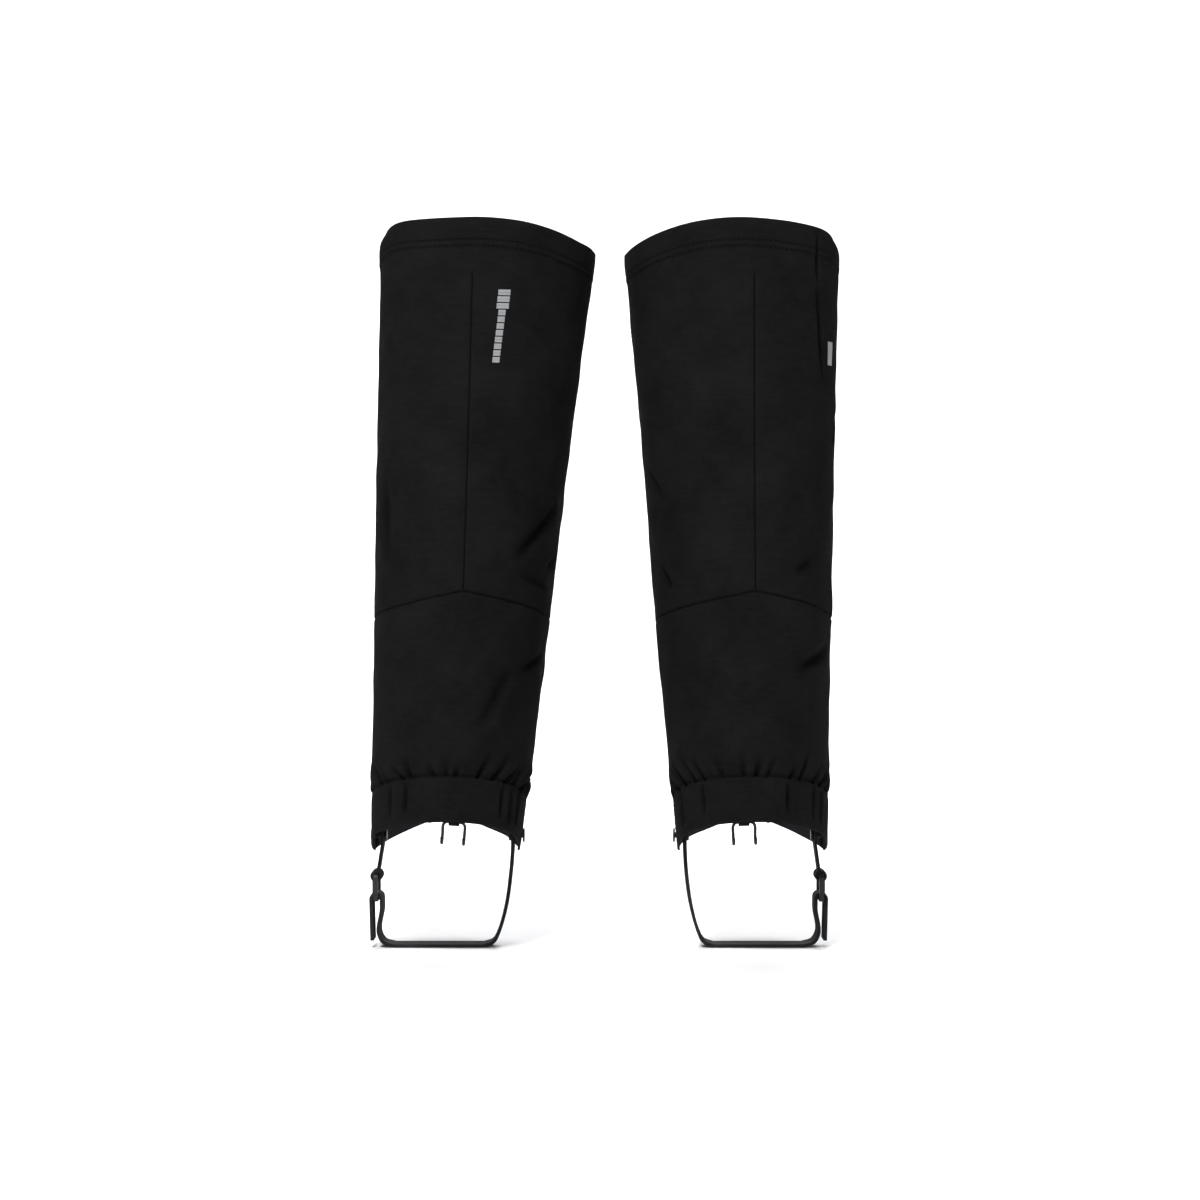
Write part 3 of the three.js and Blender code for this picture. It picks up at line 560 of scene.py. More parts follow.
def sheet_piece(name, leg, phi, z, middle, half, shades):
    """A closed piece from a grid of angles and heights: a face `half` to each side of the middle, and a
    wall round them. `shades` are the values that its finish reads."""
    nu, nv = z.shape
    faces = [on_leg(leg, phi, z, middle + sign * half).reshape(-1, 3) for sign in (1, -1)]
    index = np.arange(nu * nv).reshape(nu, nv)
    quads = np.stack([index[:-1, :-1], index[1:, :-1], index[1:, 1:], index[:-1, 1:]], -1).reshape(-1, 4)
    ring = np.concatenate([index[:-1, 0], index[-1, :-1], index[:0:-1, -1], index[0, :0:-1]])
    ahead = np.roll(ring, -1)
    wall = np.stack([ring, ring + nu * nv, ahead + nu * nv, ahead], -1)
    shapes = [quads, quads[:, ::-1] + nu * nv, wall]
    polygons = np.concatenate([s if LEGS[leg]["side"] > 0 else s[:, ::-1] for s in shapes])
    mesh = bpy.data.meshes.new(name)
    mesh.from_pydata(np.concatenate(faces).tolist(), [], polygons.tolist())
    mesh.polygons.foreach_set("use_smooth", np.ones(len(polygons), bool))
    corner = np.zeros(len(mesh.loops), np.int32)
    mesh.loops.foreach_get("vertex_index", corner)
    flat_map = np.stack([np.radians(phi) * MAP_RADIUS, z], -1).reshape(-1, 2)
    mesh.uv_layers.new(name="cloth").data.foreach_set("uv", np.tile(flat_map, (2, 1))[corner].ravel())
    for key, values in shades.items():
        mesh.attributes.new(key, "FLOAT", "POINT").data.foreach_set("value", values.astype(np.float32))
    mesh.set_sharp_from_angle(angle=math.radians(70))
    return new_object(name, mesh)


def cut_cloth(name, leg, span, low, high, off=0.0, thick=FABRIC, sewn="", shallow="", stitched=(),
              step=0.0016, top=False, bottom_rows=(), top_rows=(), top_span=None):
    """A sheet between two angles and two heights. `sewn` names the edges that dip into a seam, and the
    others are rounded. `top_span` gives other angles at the top. Returns the piece and its flat size."""
    (start, end), (start_top, end_top) = span, top_span or span
    arc = np.linspace((start + start_top) / 2, (end + end_top) / 2, 40)
    middle = (low(leg, arc) + high(leg, arc)) / 2
    run = on_leg(leg, arc, middle)
    wide = float(np.linalg.norm(np.diff(run, axis=0), axis=1).sum())
    side_marks = marks()
    if wide < 4 * side_marks[-1]:
        side_marks = side_marks[:3]
    x = spread([0.0], [wide], side_marks, side_marks, step)[0]
    phi_low, phi_high = start + (end - start) * x / wide, start_top + (end_top - start_top) * x / wide
    z = spread(low(leg, phi_low), high(leg, phi_high), marks(*bottom_rows), marks(*top_rows), step)
    share = (z - z[:, :1]) / (z[:, -1:] - z[:, :1])
    phi = phi_low[:, None] + (phi_high - phi_low)[:, None] * share
    beside = x[:, None] + 0 * z
    far = {"l": beside, "r": wide - beside, "b": z - z[:, :1], "t": z[:, -1:] - z}
    base = folds(leg, phi, z) + (off(phi) if callable(off) else off)
    wear = np.zeros(z.shape)
    # painted shade: the cloth is darkened in proportion to how deep its fold is
    seam = PAINTED_FOLD_SHADE * np.clip(-strokes(leg, phi, z) / 0.0032, 0, 1)
    pressed = 1 - smooth(z, SEAM_TOP - 0.004, SEAM_TOP + 0.004)
    half = np.full(z.shape, thick / 2)
    dips = np.zeros(z.shape)
    for key, distance in far.items():
        if key in sewn:
            open_seam = pressed if key in "lr" else 1.0
            dip = EDGE_DIP * (0.45 if key in shallow else 1.0)
            dips = np.maximum(dips, dip * (1 - smooth(distance, 0.0, 0.0018)) * open_seam)
            # painted shade: the last millimetre of a sewn edge is darkened where the seam's crease is
            dark = 0.5 if key in shallow else 0.85
            seam = np.maximum(seam, dark * open_seam * (1 - smooth(distance, 0.0, 0.0008)))
        else:
            half *= np.sqrt(1 - (1 - np.clip(distance / EDGE_ROUND, 0.02, 1)) ** 2)
            wear = np.maximum(wear, 1 - smooth(distance, 0.0, EDGE_RUB))
    base = base - dips
    for key, distance in stitched:
        base = base - STITCH_DENT * np.exp(-(((far[key] - distance) / 0.0006) ** 2))
        # painted shade: the cloth is darkened along each stitch dent
        seam = np.maximum(seam, 0.75 * np.exp(-(((far[key] - distance) / 0.0005) ** 2)))
    if top:
        base = base + 0.0005 * smooth(far["t"], HEM_ROWS[1] + 0.0014, HEM_ROWS[1])
    shades = {
        "wear": np.tile(wear.ravel(), 2),
        # the "seam" value is painted shade for seams, stitch dents and deep folds
        "seam": np.tile(seam.ravel(), 2),
        "inside": np.repeat([0.0, 1.0], z.size),
    }
    piece = sheet_piece(name, leg, phi, z, base - thick / 2, half, shades)
    flat = (round(wide, 4), round(float(np.mean(z[:, -1] - z[:, 0])), 4))
    print(name, len(piece.data.polygons), "faces, cut", flat)
    return piece, flat


def edge(line, gap):
    """An edge line moved up or down by a gap."""
    return lambda leg, phi: line(leg, phi) + gap


def sink(phi):
    """The inner front panel passes under the flap."""
    return -STACK * smooth(-phi, 125, 158)


print("rows near a hem:", len(marks(*HEM_ROWS)))

# %% [markdown]
# ## Sewing the leg
#
# Seven panels make each gaiter: two upper backs, a lower back under the chevron seam, the gathered
# hem band, two fronts and the closure flap. Each replaces the plain solid of the same name in the
# frame. The flap turns on the line where it leaves the outer front.

# %% Panels


def dress(piece, material, body, node_name, slot_name, flat):
    """Gives a sheet its finish and says what it replaces and what it rides on. The cut size `flat` is not
    used.
    """
    piece.data.materials.append(material)
    if node_name:
        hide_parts(node_name)
    if body:
        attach(piece, body)


def sew_leg(leg):
    """The seven panels of one leg. Those that meet at a cross seam stop a hair short of its line."""
    shell = f"{leg}_shell"
    up, down = 0.00005, -0.00005
    rim_rows = [("t", row) for row in HEM_ROWS]
    tall = dict(top=True, top_rows=HEM_ROWS)
    cuts = {
        "upper_back_inner": ((-SIDE_SEAM, back_seam(leg)), edge(chevron_z, up), rim_z,
                             dict(sewn="lrb", top_span=(-SIDE_SEAM, back_seam(leg, 1)), **tall)),
        "upper_back_outer": ((back_seam(leg), SIDE_SEAM), edge(chevron_z, up), rim_z,
                             dict(sewn="lrb", top_span=(back_seam(leg, 1), SIDE_SEAM), **tall)),
        "lower_back": ((-SIDE_SEAM, SIDE_SEAM), edge(gather_z, up), edge(chevron_z, down),
                       dict(sewn="lrbt", shallow="b", step=0.0012, bottom_rows=(GATHER_ROW,))),
        "hem_band": ((-SIDE_SEAM, SIDE_SEAM), hem_z, edge(gather_z, down),
                     dict(sewn="lrt", shallow="t", step=0.0012)),
        "front_inner": ((-UNDERLAP_EDGE, -SIDE_SEAM), hem_z, rim_z, dict(sewn="r", off=sink, **tall)),
        "front_outer": ((SIDE_SEAM, FLAP_HINGE), hem_z, rim_z, dict(sewn="l", **tall)),
    }
    for part, (span, low, high, extra) in cuts.items():
        dents = (rim_rows if extra.get("top") else []) + ([("b", GATHER_ROW)] if part == "lower_back" else [])
        piece, flat = cut_cloth(f"{leg}_{part}_fabric", leg, span, low, high, stitched=dents, **extra)
        dress(piece, SHELL, shell, f"{leg}_{part}", "shell_fabric", flat)
    flap, flat = cut_cloth(f"{leg}_flap_fabric", leg, (FLAP_HINGE, FLAP_EDGE), hem_z, rim_z,
                           stitched=[*rim_rows, ("r", 0.003)], **tall)
    dress(flap, SHELL, None, f"{leg}_flap", "shell_fabric", flat)
    hinge = next(j for j in frame["joints"] if j["name"] == f"{leg}_flap_open")
    at, axis = Vector(hinge["pos_m"]), Vector(hinge["axis"]).normalized()
    on_flap = Vector(on_leg(leg, np.array(FLAP_HINGE + 6), np.array(at.z)).tolist()) - at
    across = (on_flap - on_flap.dot(axis) * axis).normalized()
    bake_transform(flap)


for leg in LEGS:
    sew_leg(leg)

# %% [markdown]
# ## Hem facings, elastic and seam tape
#
# The top edge is turned in over an elastic, and a wider elastic gathers the back of the bottom hem.
# Both are knitted bands with upright ribs. On the inside, every seam of a waterproof laminate is
# sealed with a glued tape, thinner than the cloth and a little glossy.

# %% Elastic and tape finishes


def banded(name, dark, pale, rib, rough, depth):
    """A knitted or woven band with ribs across its length."""
    material, shader = principled(name, dark, rough, specular=0.05)
    tree = material.node_tree
    where = cloth_place(tree)
    ribs = wave(tree, where, rib, "X", 0.3)
    rows = wave(tree, where, rib * 0.45, "Y", 0.4)
    slow = noise(tree, where, 60.0)
    tone = math_node(tree, "MULTIPLY_ADD", ribs, 0.5, math_node(tree, "MULTIPLY", slow, 0.6))
    tree.links.new(blend_colors(tree, tone, dark, pale), shader.inputs["Base Color"])
    vary(tree, shader, slow, rough - 0.1, rough + 0.1)
    bumps(tree, shader, [(ribs, 0.9, depth), (rows, 0.5, depth / 3)])
    return material


def grained(name, color, rough, specular, scale, detail, bump, tones=None, gloss=None, place=object_place):
    """A finish with one fine noise as its grain. It may also mix two tones or vary the roughness."""
    material, shader = principled(name, color, rough, specular=specular)
    tree = material.node_tree
    grain = noise(tree, place(tree), scale, detail)
    if tones:
        tree.links.new(blend_colors(tree, grain, *tones), shader.inputs["Base Color"])
    if gloss:
        vary(tree, shader, grain, *gloss)
    bumps(tree, shader, [(grain, *bump)])
    return material


ELASTIC = banded("elastic", (0.008, 0.008, 0.009), (0.030, 0.030, 0.032), 0.0013, 0.8, 0.00045)
TAPE = grained("seam_tape", (0.020, 0.021, 0.024), 0.42, 0.35, 140.0, 3.0, (0.3, 0.0003), gloss=(0.32, 0.58),
               place=cloth_place)

# %% Facings, elastics and tapes
LAYER_GAP = 0.0005
UNDER = -FABRIC - LAYER_GAP
TAPE_THICK = 0.00015


def line_hem(leg):
    """The facing, the two elastics and the four seam tapes of one leg."""
    shell = f"{leg}_shell"
    bands = {
        "top_facing": ((-120, 150), rim_z, -0.020, -0.0004, 0.0008, UNDER - 0.0015, LINING, "lining"),
        "top_elastic": ((-117, 147), rim_z, -0.0160, -0.0035, 0.001, UNDER, ELASTIC, "elastic"),
        "hem_elastic": ((-88, 88), hem_z, 0.005, 0.027, 0.001, UNDER, ELASTIC, "elastic"),
    }
    for part, (span, line, bottom, top, thick, off, finish, slot_name) in bands.items():
        low, high = edge(line, bottom), edge(line, top)
        piece, flat = cut_cloth(f"{leg}_{part}_band", leg, span, low, high, off=off, thick=thick, step=0.002)
        dress(piece, finish, shell, f"{leg}_{part}", slot_name, flat)
    under_rim = edge(rim_z, -0.022)
    tapes = {
        "back": (back_seam(leg), 7.5, edge(chevron_z, 0.004), under_rim),
        "chevron": (0, SIDE_SEAM - 8, edge(chevron_z, -0.009), edge(chevron_z, 0.009)),
        "inner_side": (-SIDE_SEAM, 8, edge(gather_z, 0.006), under_rim),
        "outer_side": (SIDE_SEAM, 8, edge(gather_z, 0.006), under_rim),
    }
    for part, (middle, reach, low, high) in tapes.items():
        span = (middle - reach, middle + reach)
        climb = back_seam(leg, 0.91) - back_seam(leg) if part == "back" else 0.0
        piece, flat = cut_cloth(f"{leg}_{part}_seam_tape", leg, span, low, high, off=-FABRIC - 0.0001,
                                thick=TAPE_THICK, step=0.0035, top_span=[phi + climb for phi in span])
        dress(piece, TAPE, shell, None, "lining", flat)


for leg in LEGS:
    line_hem(leg)

# %% [markdown]
# ## Hook-and-loop closure
#
# Hook tape is a woven band with rows of stiff bent monofilament. Loop tape is a band with a soft
# brushed pile. One Geometry Nodes tree grows both: it stands a bent thread on every point of a grid,
# facing away from the band, and its inputs set the height, the curl and how far each one turns.
# A thread has only a few dozen faces, because there are thousands.

# %% The pile tree


def new_tree(name, sockets):
    """A geometry tree with named inputs and one geometry output."""
    tree = bpy.data.node_groups.new(name, "GeometryNodeTree")
    tree.interface.new_socket("Geometry", in_out="INPUT", socket_type="NodeSocketGeometry")
    for label, kind, value in sockets:
        socket = tree.interface.new_socket(label, in_out="INPUT", socket_type=kind)
        if value is not None:
            socket.default_value = value
    tree.interface.new_socket("Geometry", in_out="OUTPUT", socket_type="NodeSocketGeometry")
    return tree, tree.nodes.new("NodeGroupInput").outputs, tree.nodes.new("NodeGroupOutput").inputs


def wire(tree, kind, settings=None, **inputs):
    """A geometry node with properties and inputs set; a socket given as an input is linked."""
    made = tree.nodes.new(kind)
    for key, value in (settings or {}).items():
        setattr(made, key, value)
    for key, value in inputs.items():
        socket = next(s for s in made.inputs if s.name == key.replace("_", " ") and s.enabled)
        if isinstance(value, bpy.types.NodeSocket):
            tree.links.new(value, socket)
        else:
            socket.default_value = value
    return made


def standing(tree, mesh, instance, turn, size):
    """Instances on the mesh's points, up along `facing` and ahead along `ahead`."""
    facing = wire(tree, "GeometryNodeInputNamedAttribute", {"data_type": "FLOAT_VECTOR"}, Name="facing")
    ahead = wire(tree, "GeometryNodeInputNamedAttribute", {"data_type": "FLOAT_VECTOR"}, Name="ahead")
    frame_turn = wire(tree, "FunctionNodeAxesToRotation", {"primary_axis": "Z", "secondary_axis": "X"},
                      Primary_Axis=facing.outputs["Attribute"], Secondary_Axis=ahead.outputs["Attribute"])
    spin = wire(tree, "FunctionNodeRotateRotation", {"rotation_space": "LOCAL"},
                Rotation=frame_turn.outputs["Rotation"], Rotate_By=turn)
    placed = wire(tree, "GeometryNodeInstanceOnPoints", Points=mesh, Instance=instance,
                  Rotation=spin.outputs["Rotation"], Scale=size)
    real = wire(tree, "GeometryNodeRealizeInstances", Geometry=placed.outputs["Instances"])
    return real.outputs["Geometry"]


def jitter(tree, low, high, seed):
    """A random vector for each point."""
    made = wire(tree, "FunctionNodeRandomValue", {"data_type": "FLOAT_VECTOR"}, Seed=seed)
    vectors = [s for s in made.inputs if s.type == "VECTOR"]
    vectors[0].default_value, vectors[1].default_value = low, high
    return made.outputs["Value"]


def chance(tree, reach, seed):
    """A random number for each point, between minus and plus `reach`."""
    made = wire(tree, "FunctionNodeRandomValue", {"data_type": "FLOAT"}, Min=-reach, Max=reach, Seed=seed)
    return next(o for o in made.outputs if o.enabled)


def upright_turn(tree, angle):
    """A rotation by an angle about the upright axis."""
    euler = wire(tree, "ShaderNodeCombineXYZ", Z=angle)
    return wire(tree, "FunctionNodeEulerToRotation", Euler=euler.outputs[0]).outputs["Rotation"]


def finish_tree(tree, geometry, material, out):
    shaded = wire(tree, "GeometryNodeSetShadeSmooth", Geometry=geometry)
    final = wire(tree, "GeometryNodeSetMaterial", Geometry=shaded.outputs["Geometry"], Material=material)
    tree.links.new(final.outputs["Geometry"], out["Geometry"])


def pile_tree():
    """A bent thread on every point: it rises, curls over and comes down again at its reach."""
    tree, given, out = new_tree("pile", [
        ("Height", "NodeSocketFloat", 0.001), ("Reach", "NodeSocketFloat", 0.0008),
        ("Thread", "NodeSocketFloat", 0.0001), ("Turn", "NodeSocketFloat", 0.2),
        ("Seed", "NodeSocketInt", 3), ("Material", "NodeSocketMaterial", None),
    ])
    top = wire(tree, "ShaderNodeCombineXYZ", X=given["Reach"], Z=given["Height"])
    foot = wire(tree, "ShaderNodeCombineXYZ", X=given["Reach"])
    bend = wire(tree, "ShaderNodeCombineXYZ", Z=given["Height"])
    curve = wire(tree, "GeometryNodeCurvePrimitiveBezierSegment", Resolution=6, Start=(0, 0, 0),
                 End=foot.outputs[0], Start_Handle=bend.outputs[0], End_Handle=top.outputs[0])
    ring = wire(tree, "GeometryNodeCurvePrimitiveCircle", Resolution=4, Radius=given["Thread"])
    thread = wire(tree, "GeometryNodeCurveToMesh", Curve=curve.outputs["Curve"],
                  Profile_Curve=ring.outputs["Curve"], Fill_Caps=True)
    angle = math_node(tree, "MULTIPLY", chance(tree, 1.0, given["Seed"]), given["Turn"])
    turn = upright_turn(tree, angle)
    size = jitter(tree, (0.85, 0.85, 0.8), (1.1, 1.1, 1.0), 5)
    grown = standing(tree, given["Geometry"], thread.outputs["Mesh"], turn, size)
    finish_tree(tree, grown, given["Material"], out)
    return tree


PILE = pile_tree()
print("pile tree:", len(PILE.nodes), "nodes")

# %% Growing pieces from a tree


def point_cloud(name, points, facing, ahead):
    """Loose points that carry the direction each one faces and the direction ahead."""
    mesh = bpy.data.meshes.new(name)
    mesh.from_pydata(points.tolist(), [], [])
    for key, values in (("facing", facing), ("ahead", ahead)):
        layer = mesh.attributes.new(key, "FLOAT_VECTOR", "POINT")
        layer.data.foreach_set("vector", values.astype(np.float32).ravel())
    return new_object(name, mesh)


def grow(piece, tree, **values):
    """Runs a tree on a piece, keeps the result as a plain mesh and drops the modifier."""
    modifier = piece.modifiers.new("grow", "NODES")
    modifier.node_group = tree
    for item in tree.interface.items_tree:
        if item.item_type == "SOCKET" and item.in_out == "INPUT" and item.name in values:
            modifier[item.identifier] = values[item.name]
    bpy.context.view_layer.update()
    grown = bpy.data.meshes.new_from_object(piece.evaluated_get(bpy.context.evaluated_depsgraph_get()))
    piece.modifiers.clear()
    piece.data = grown
    print(piece.name, len(grown.polygons), "faces")


def surface_frame(leg, phi, z, off):
    """Points on the folded cloth, the outward direction and the direction round the leg."""
    points = on_leg(leg, phi, z, off)
    round_leg = on_leg(leg, phi + 0.3, z, off) - on_leg(leg, phi - 0.3, z, off)
    up = on_leg(leg, phi, z + 0.0005, off) - on_leg(leg, phi, z - 0.0005, off)
    out = np.cross(up, round_leg) * -LEGS[leg]["side"]
    return points, unit(out), unit(round_leg), unit(up)


def unit(vectors):
    return vectors / np.linalg.norm(vectors, axis=-1, keepdims=True)


# %% Hook and loop tapes
MONOFILAMENT = grained("hook_filament", (0.012, 0.012, 0.013), 0.35, 0.5, 700.0, 2.0, (0.2, 0.00003),
                       gloss=(0.28, 0.5))
FLEECE = grained("loop_pile", (0.016, 0.016, 0.018), 0.95, 0.05, 900.0, 3.0, (0.6, 0.0002),
                 tones=((0.008, 0.008, 0.009), (0.030, 0.030, 0.033)))
TAPE_BASE = banded("hook_and_loop", (0.007, 0.007, 0.008), (0.020, 0.020, 0.022), 0.0008, 0.8, 0.0002)
STRIP_THICK, BASE_THICK = 0.0012, 0.0005
STRIP_MIDDLE = (FLAP_HINGE + FLAP_EDGE) / 2
STRIP_RADIUS = (ANKLE_HALF + CALF_HALF) / 2
STRIP_TURN = math.degrees(0.012 / STRIP_RADIUS)
STRIP_FOOT, STRIP_HEAD = 0.038, 0.007  # how far the strips stop from the hem and from the rim
HOOK_OFF = UNDER
LOOP_OFF = UNDER - STRIP_THICK - LAYER_GAP
LOOP_FACE = LOOP_OFF - STRIP_THICK + BASE_THICK


def tape_grid(leg, turn, pitch, low, high, offset):
    """Points in staggered rows over a tape, clear of its edges."""
    across = np.arange(-0.0102, 0.0103, pitch) / STRIP_RADIUS
    heights = np.arange(low + 0.003, high - 0.003, pitch)
    phi, z = np.meshgrid(STRIP_MIDDLE + turn + np.degrees(across), heights)
    phi = phi + np.degrees(pitch / 2 / 0.063) * (np.arange(len(heights)) % 2 - 0.5)[:, None]
    phi, z = phi.ravel(), z.ravel()
    return surface_frame(leg, phi, z, folds(leg, phi, z) + offset)


PILES = {
    "hook_strip": dict(Height=0.0011, Reach=0.0007, Thread=0.00013, Turn=0.25, Material=MONOFILAMENT),
    "loop_strip": dict(Height=0.00085, Reach=0.0008, Thread=0.00008, Turn=3.1, Material=FLEECE),
}


def strip_ends(leg):
    """The heights between which the hook and loop strips run."""
    middle = np.array(STRIP_MIDDLE)
    return float(hem_z(leg, middle)) + STRIP_FOOT, float(rim_z(leg, middle)) - STRIP_HEAD


def closure(leg):
    """The hooks face in from the flap, and the loops face out from the underlap, one turn round."""
    low, high = strip_ends(leg)
    for part, turn, off, body in (
        ("hook_strip", 0, HOOK_OFF, f"{leg}_closure"),
        ("loop_strip", -360, LOOP_FACE, f"{leg}_shell"),
    ):
        ends = (STRIP_MIDDLE - STRIP_TURN + turn, STRIP_MIDDLE + STRIP_TURN + turn)
        tape, flat = cut_cloth(f"{leg}_{part}_tape", leg, ends, edge(hem_z, STRIP_FOOT),
                               edge(rim_z, -STRIP_HEAD), off=off, thick=BASE_THICK, step=0.0025)
        dress(tape, TAPE_BASE, body, f"{leg}_{part}", "hook_and_loop", flat)
        if part == "hook_strip":
            points, out, _, up = tape_grid(leg, turn, 0.0019, low, high, off - BASE_THICK)
            pile = point_cloud(f"{leg}_{part}_pile", points, -out, up)
        else:
            points, out, around, _ = tape_grid(leg, turn, 0.0015, low, high, off)
            pile = point_cloud(f"{leg}_{part}_pile", points, out, around)
        grow(pile, PILE, Seed=3, **PILES[part])
        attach(pile, body)


for leg in LEGS:
    closure(leg)

# %% [markdown]
# ## Stitching
#
# One Geometry Nodes tree sews every row: it lays a small rounded stitch on each point, along the row.
# Stitches are three millimetres apart and pull the cloth down, so they sit in the dents cut above.
# Thread is bonded polyester, a little glossier than the cloth. One piece holds each body's stitches.

# %% The stitch tree
THREAD_FINISH = grained("thread", (0.003, 0.003, 0.003), 0.8, 0.05, 1500.0, 2.0, (0.4, 0.00005),
                        tones=((0.0035, 0.0035, 0.0036), (0.0130, 0.0130, 0.0134)))


def stitch_tree():
    """A small rounded stitch on every point, its length along the row."""
    tree, given, out = new_tree("stitch", [
        ("Length", "NodeSocketFloat", 0.0022), ("Width", "NodeSocketFloat", 0.0005),
        ("Seed", "NodeSocketInt", 7), ("Material", "NodeSocketMaterial", None),
    ])
    ball = wire(tree, "GeometryNodeMeshUVSphere", Segments=8, Rings=5, Radius=0.5)
    size = wire(tree, "ShaderNodeCombineXYZ", X=given["Length"], Y=given["Width"], Z=given["Width"])
    uneven = jitter(tree, (0.9, 0.85, 0.85), (1.08, 1.1, 1.1), 4)
    scale = wire(tree, "ShaderNodeVectorMath", {"operation": "MULTIPLY"})
    tree.links.new(size.outputs[0], scale.inputs[0])
    tree.links.new(uneven, scale.inputs[1])
    turn = upright_turn(tree, chance(tree, 0.06, given["Seed"]))
    sewn = standing(tree, given["Geometry"], ball.outputs["Mesh"], turn, scale.outputs[0])
    finish_tree(tree, sewn, given["Material"], out)
    return tree


STITCH = stitch_tree()
print("stitch tree:", len(STITCH.nodes), "nodes")

# %% Rows of stitches
PITCH, GATHER_PITCH = 0.0031, 0.0027
STITCH_LONG, STITCH_WIDE = 0.0023, 0.0005
ROW_LIFT, RIM_LIFT = -0.00005, 0.0002
HEM_STITCH = 0.0060  # how far above the hem its row runs


def row(leg, start, end, line, off=0.0, pitch=PITCH):
    """Stitches along a line of the leg, from one angle to another."""
    phi = start + (end - start) * np.linspace(0, 1, 600)
    z = line(leg, phi)
    path = on_leg(leg, phi, z)
    run = np.concatenate([[0], np.linalg.norm(np.diff(path, axis=0), axis=1).cumsum()])
    places = np.arange(pitch / 2, run[-1], pitch)
    phi, z = np.interp(places, run, phi), np.interp(places, run, z)
    lift = off(phi) if callable(off) else off
    points, out = surface_frame(leg, phi, z, folds(leg, phi, z) + lift)[:2]
    return points, out, unit(np.gradient(points, axis=0))


def upright(leg, phi, low, high, off=0.0):
    """A row up the leg at one angle."""
    return row(leg, phi, phi, lambda leg, p: low + (high - low) * np.linspace(0, 1, len(p)), off)


def sew(name, body, rows, length=STITCH_LONG):
    points, facing, ahead = (np.concatenate([r[k] for r in rows]) for k in range(3))
    piece = point_cloud(name, points, facing, ahead)
    grow(piece, STITCH, Length=length, Width=STITCH_WIDE, Seed=7, Material=THREAD_FINISH)
    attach(piece, body)


def sink_at_rim(phi):
    return sink(phi) + RIM_LIFT


def stitch_leg(leg):
    """All the rows of one leg: the rim, the gather seam, the hem, the side seams and the closure."""
    under, beside = -UNDERLAP_EDGE + 2, SIDE_SEAM + 1
    rim_lines = [edge(rim_z, -drop) for drop in HEM_ROWS]
    hem_line = edge(hem_z, HEM_STITCH)
    rows = [row(leg, -SIDE_SEAM, FLAP_HINGE - 1, line, RIM_LIFT) for line in rim_lines]
    rows += [row(leg, under, -SIDE_SEAM, line, sink_at_rim) for line in rim_lines]
    gather_line = edge(gather_z, GATHER_ROW)
    rows.append(row(leg, -SIDE_SEAM + 1, SIDE_SEAM - 1, gather_line, ROW_LIFT, GATHER_PITCH))
    rows.append(row(leg, -beside, under, hem_line, sink))
    rows.append(row(leg, beside, FLAP_HINGE - 1, hem_line, ROW_LIFT))
    for phi in (-SIDE_SEAM - 1.8, SIDE_SEAM + 1.8):
        rows.append(upright(leg, phi, 0.082, float(rim_z(leg, np.array(phi))) - 0.021, ROW_LIFT))
    low, high = strip_ends(leg)
    low, high = low + 0.002, high - 0.002
    inset = STRIP_TURN - 1.3
    strip_sides = (STRIP_MIDDLE - inset, STRIP_MIDDLE + inset)
    rows += [upright(leg, phi - 360, low, high, LOOP_FACE + 0.0001) for phi in strip_sides]
    sew(f"{leg}_shell_stitches", f"{leg}_shell", rows)
    rows = [row(leg, FLAP_HINGE + 5, FLAP_EDGE - 1, line, RIM_LIFT) for line in rim_lines]
    flap_top = float(rim_z(leg, np.array(FLAP_EDGE))) - 0.002
    rows.append(upright(leg, FLAP_EDGE - 2.4, 0.092, flap_top, ROW_LIFT))
    rows += [upright(leg, phi, low, high, ROW_LIFT) for phi in strip_sides]
    rows.append(row(leg, FLAP_HINGE + 5, FLAP_EDGE - 3, hem_line, ROW_LIFT))
    sew(f"{leg}_flap_stitches", f"{leg}_closure", rows)


for leg in LEGS:
    stitch_leg(leg)

# %% [markdown]
# ## Straps and hardware
#
# The rigid pieces and the straps have their real size and holes in the frame, so each gets a copy of
# the frame's mesh with its flat faces joined up, its sharp edges rounded and a wear value on those
# edges. Straps are coated webbing, the buckle, posts and stud are blackened steel, and the ladder
# lock is moulded nylon. A worn edge shows the bare material.

# %% Hardware finishes


def coated(name, dark, pale, rough, specular, grain, depth, metal=0.0, bare=(0.10, 0.10, 0.105), worn=0.5):
    """A finish on object coordinates, with grain, uneven gloss and rubbed edges."""
    material, shader = principled(name, dark, rough, metal, specular)
    tree = material.node_tree
    where = object_place(tree)
    fine, slow = noise(tree, where, grain, 3.0), noise(tree, where, 70.0, 4.0)
    body = blend_colors(tree, slow, dark, pale)
    rub = math_node(tree, "MULTIPLY", attribute(tree, "wear"), math_node(tree, "MULTIPLY", slow, 2 * worn))
    tree.links.new(blend_colors(tree, rub, body, bare), shader.inputs["Base Color"])
    vary(tree, shader, slow, rough - 0.12, rough + 0.12)
    bumps(tree, shader, [(fine, 0.35, depth)])
    return material


STRAP = coated("strap_rubber", (0.004, 0.004, 0.0043), (0.010, 0.010, 0.0105), 0.80, 0.02, 900.0, 0.00015,
               bare=(0.03, 0.03, 0.032))
STEEL = coated("blackened_steel", (0.010, 0.010, 0.011), (0.022, 0.022, 0.023), 0.46, 0.25, 1800.0, 0.00002,
               metal=0.75, bare=(0.05, 0.05, 0.052), worn=0.4)
NYLON = coated("moulded_nylon", (0.010, 0.010, 0.011), (0.018, 0.018, 0.019), 0.45, 0.4, 2500.0, 0.00003)
WEBBING = banded("webbing", (0.004, 0.004, 0.0045), (0.015, 0.015, 0.016), 0.0011, 0.85, 0.0003)
print("hardware finishes ready")

# %% Rounded copies of the frame's pieces


SHARP = math.radians(42)  # edges that turn by more than this are rounded


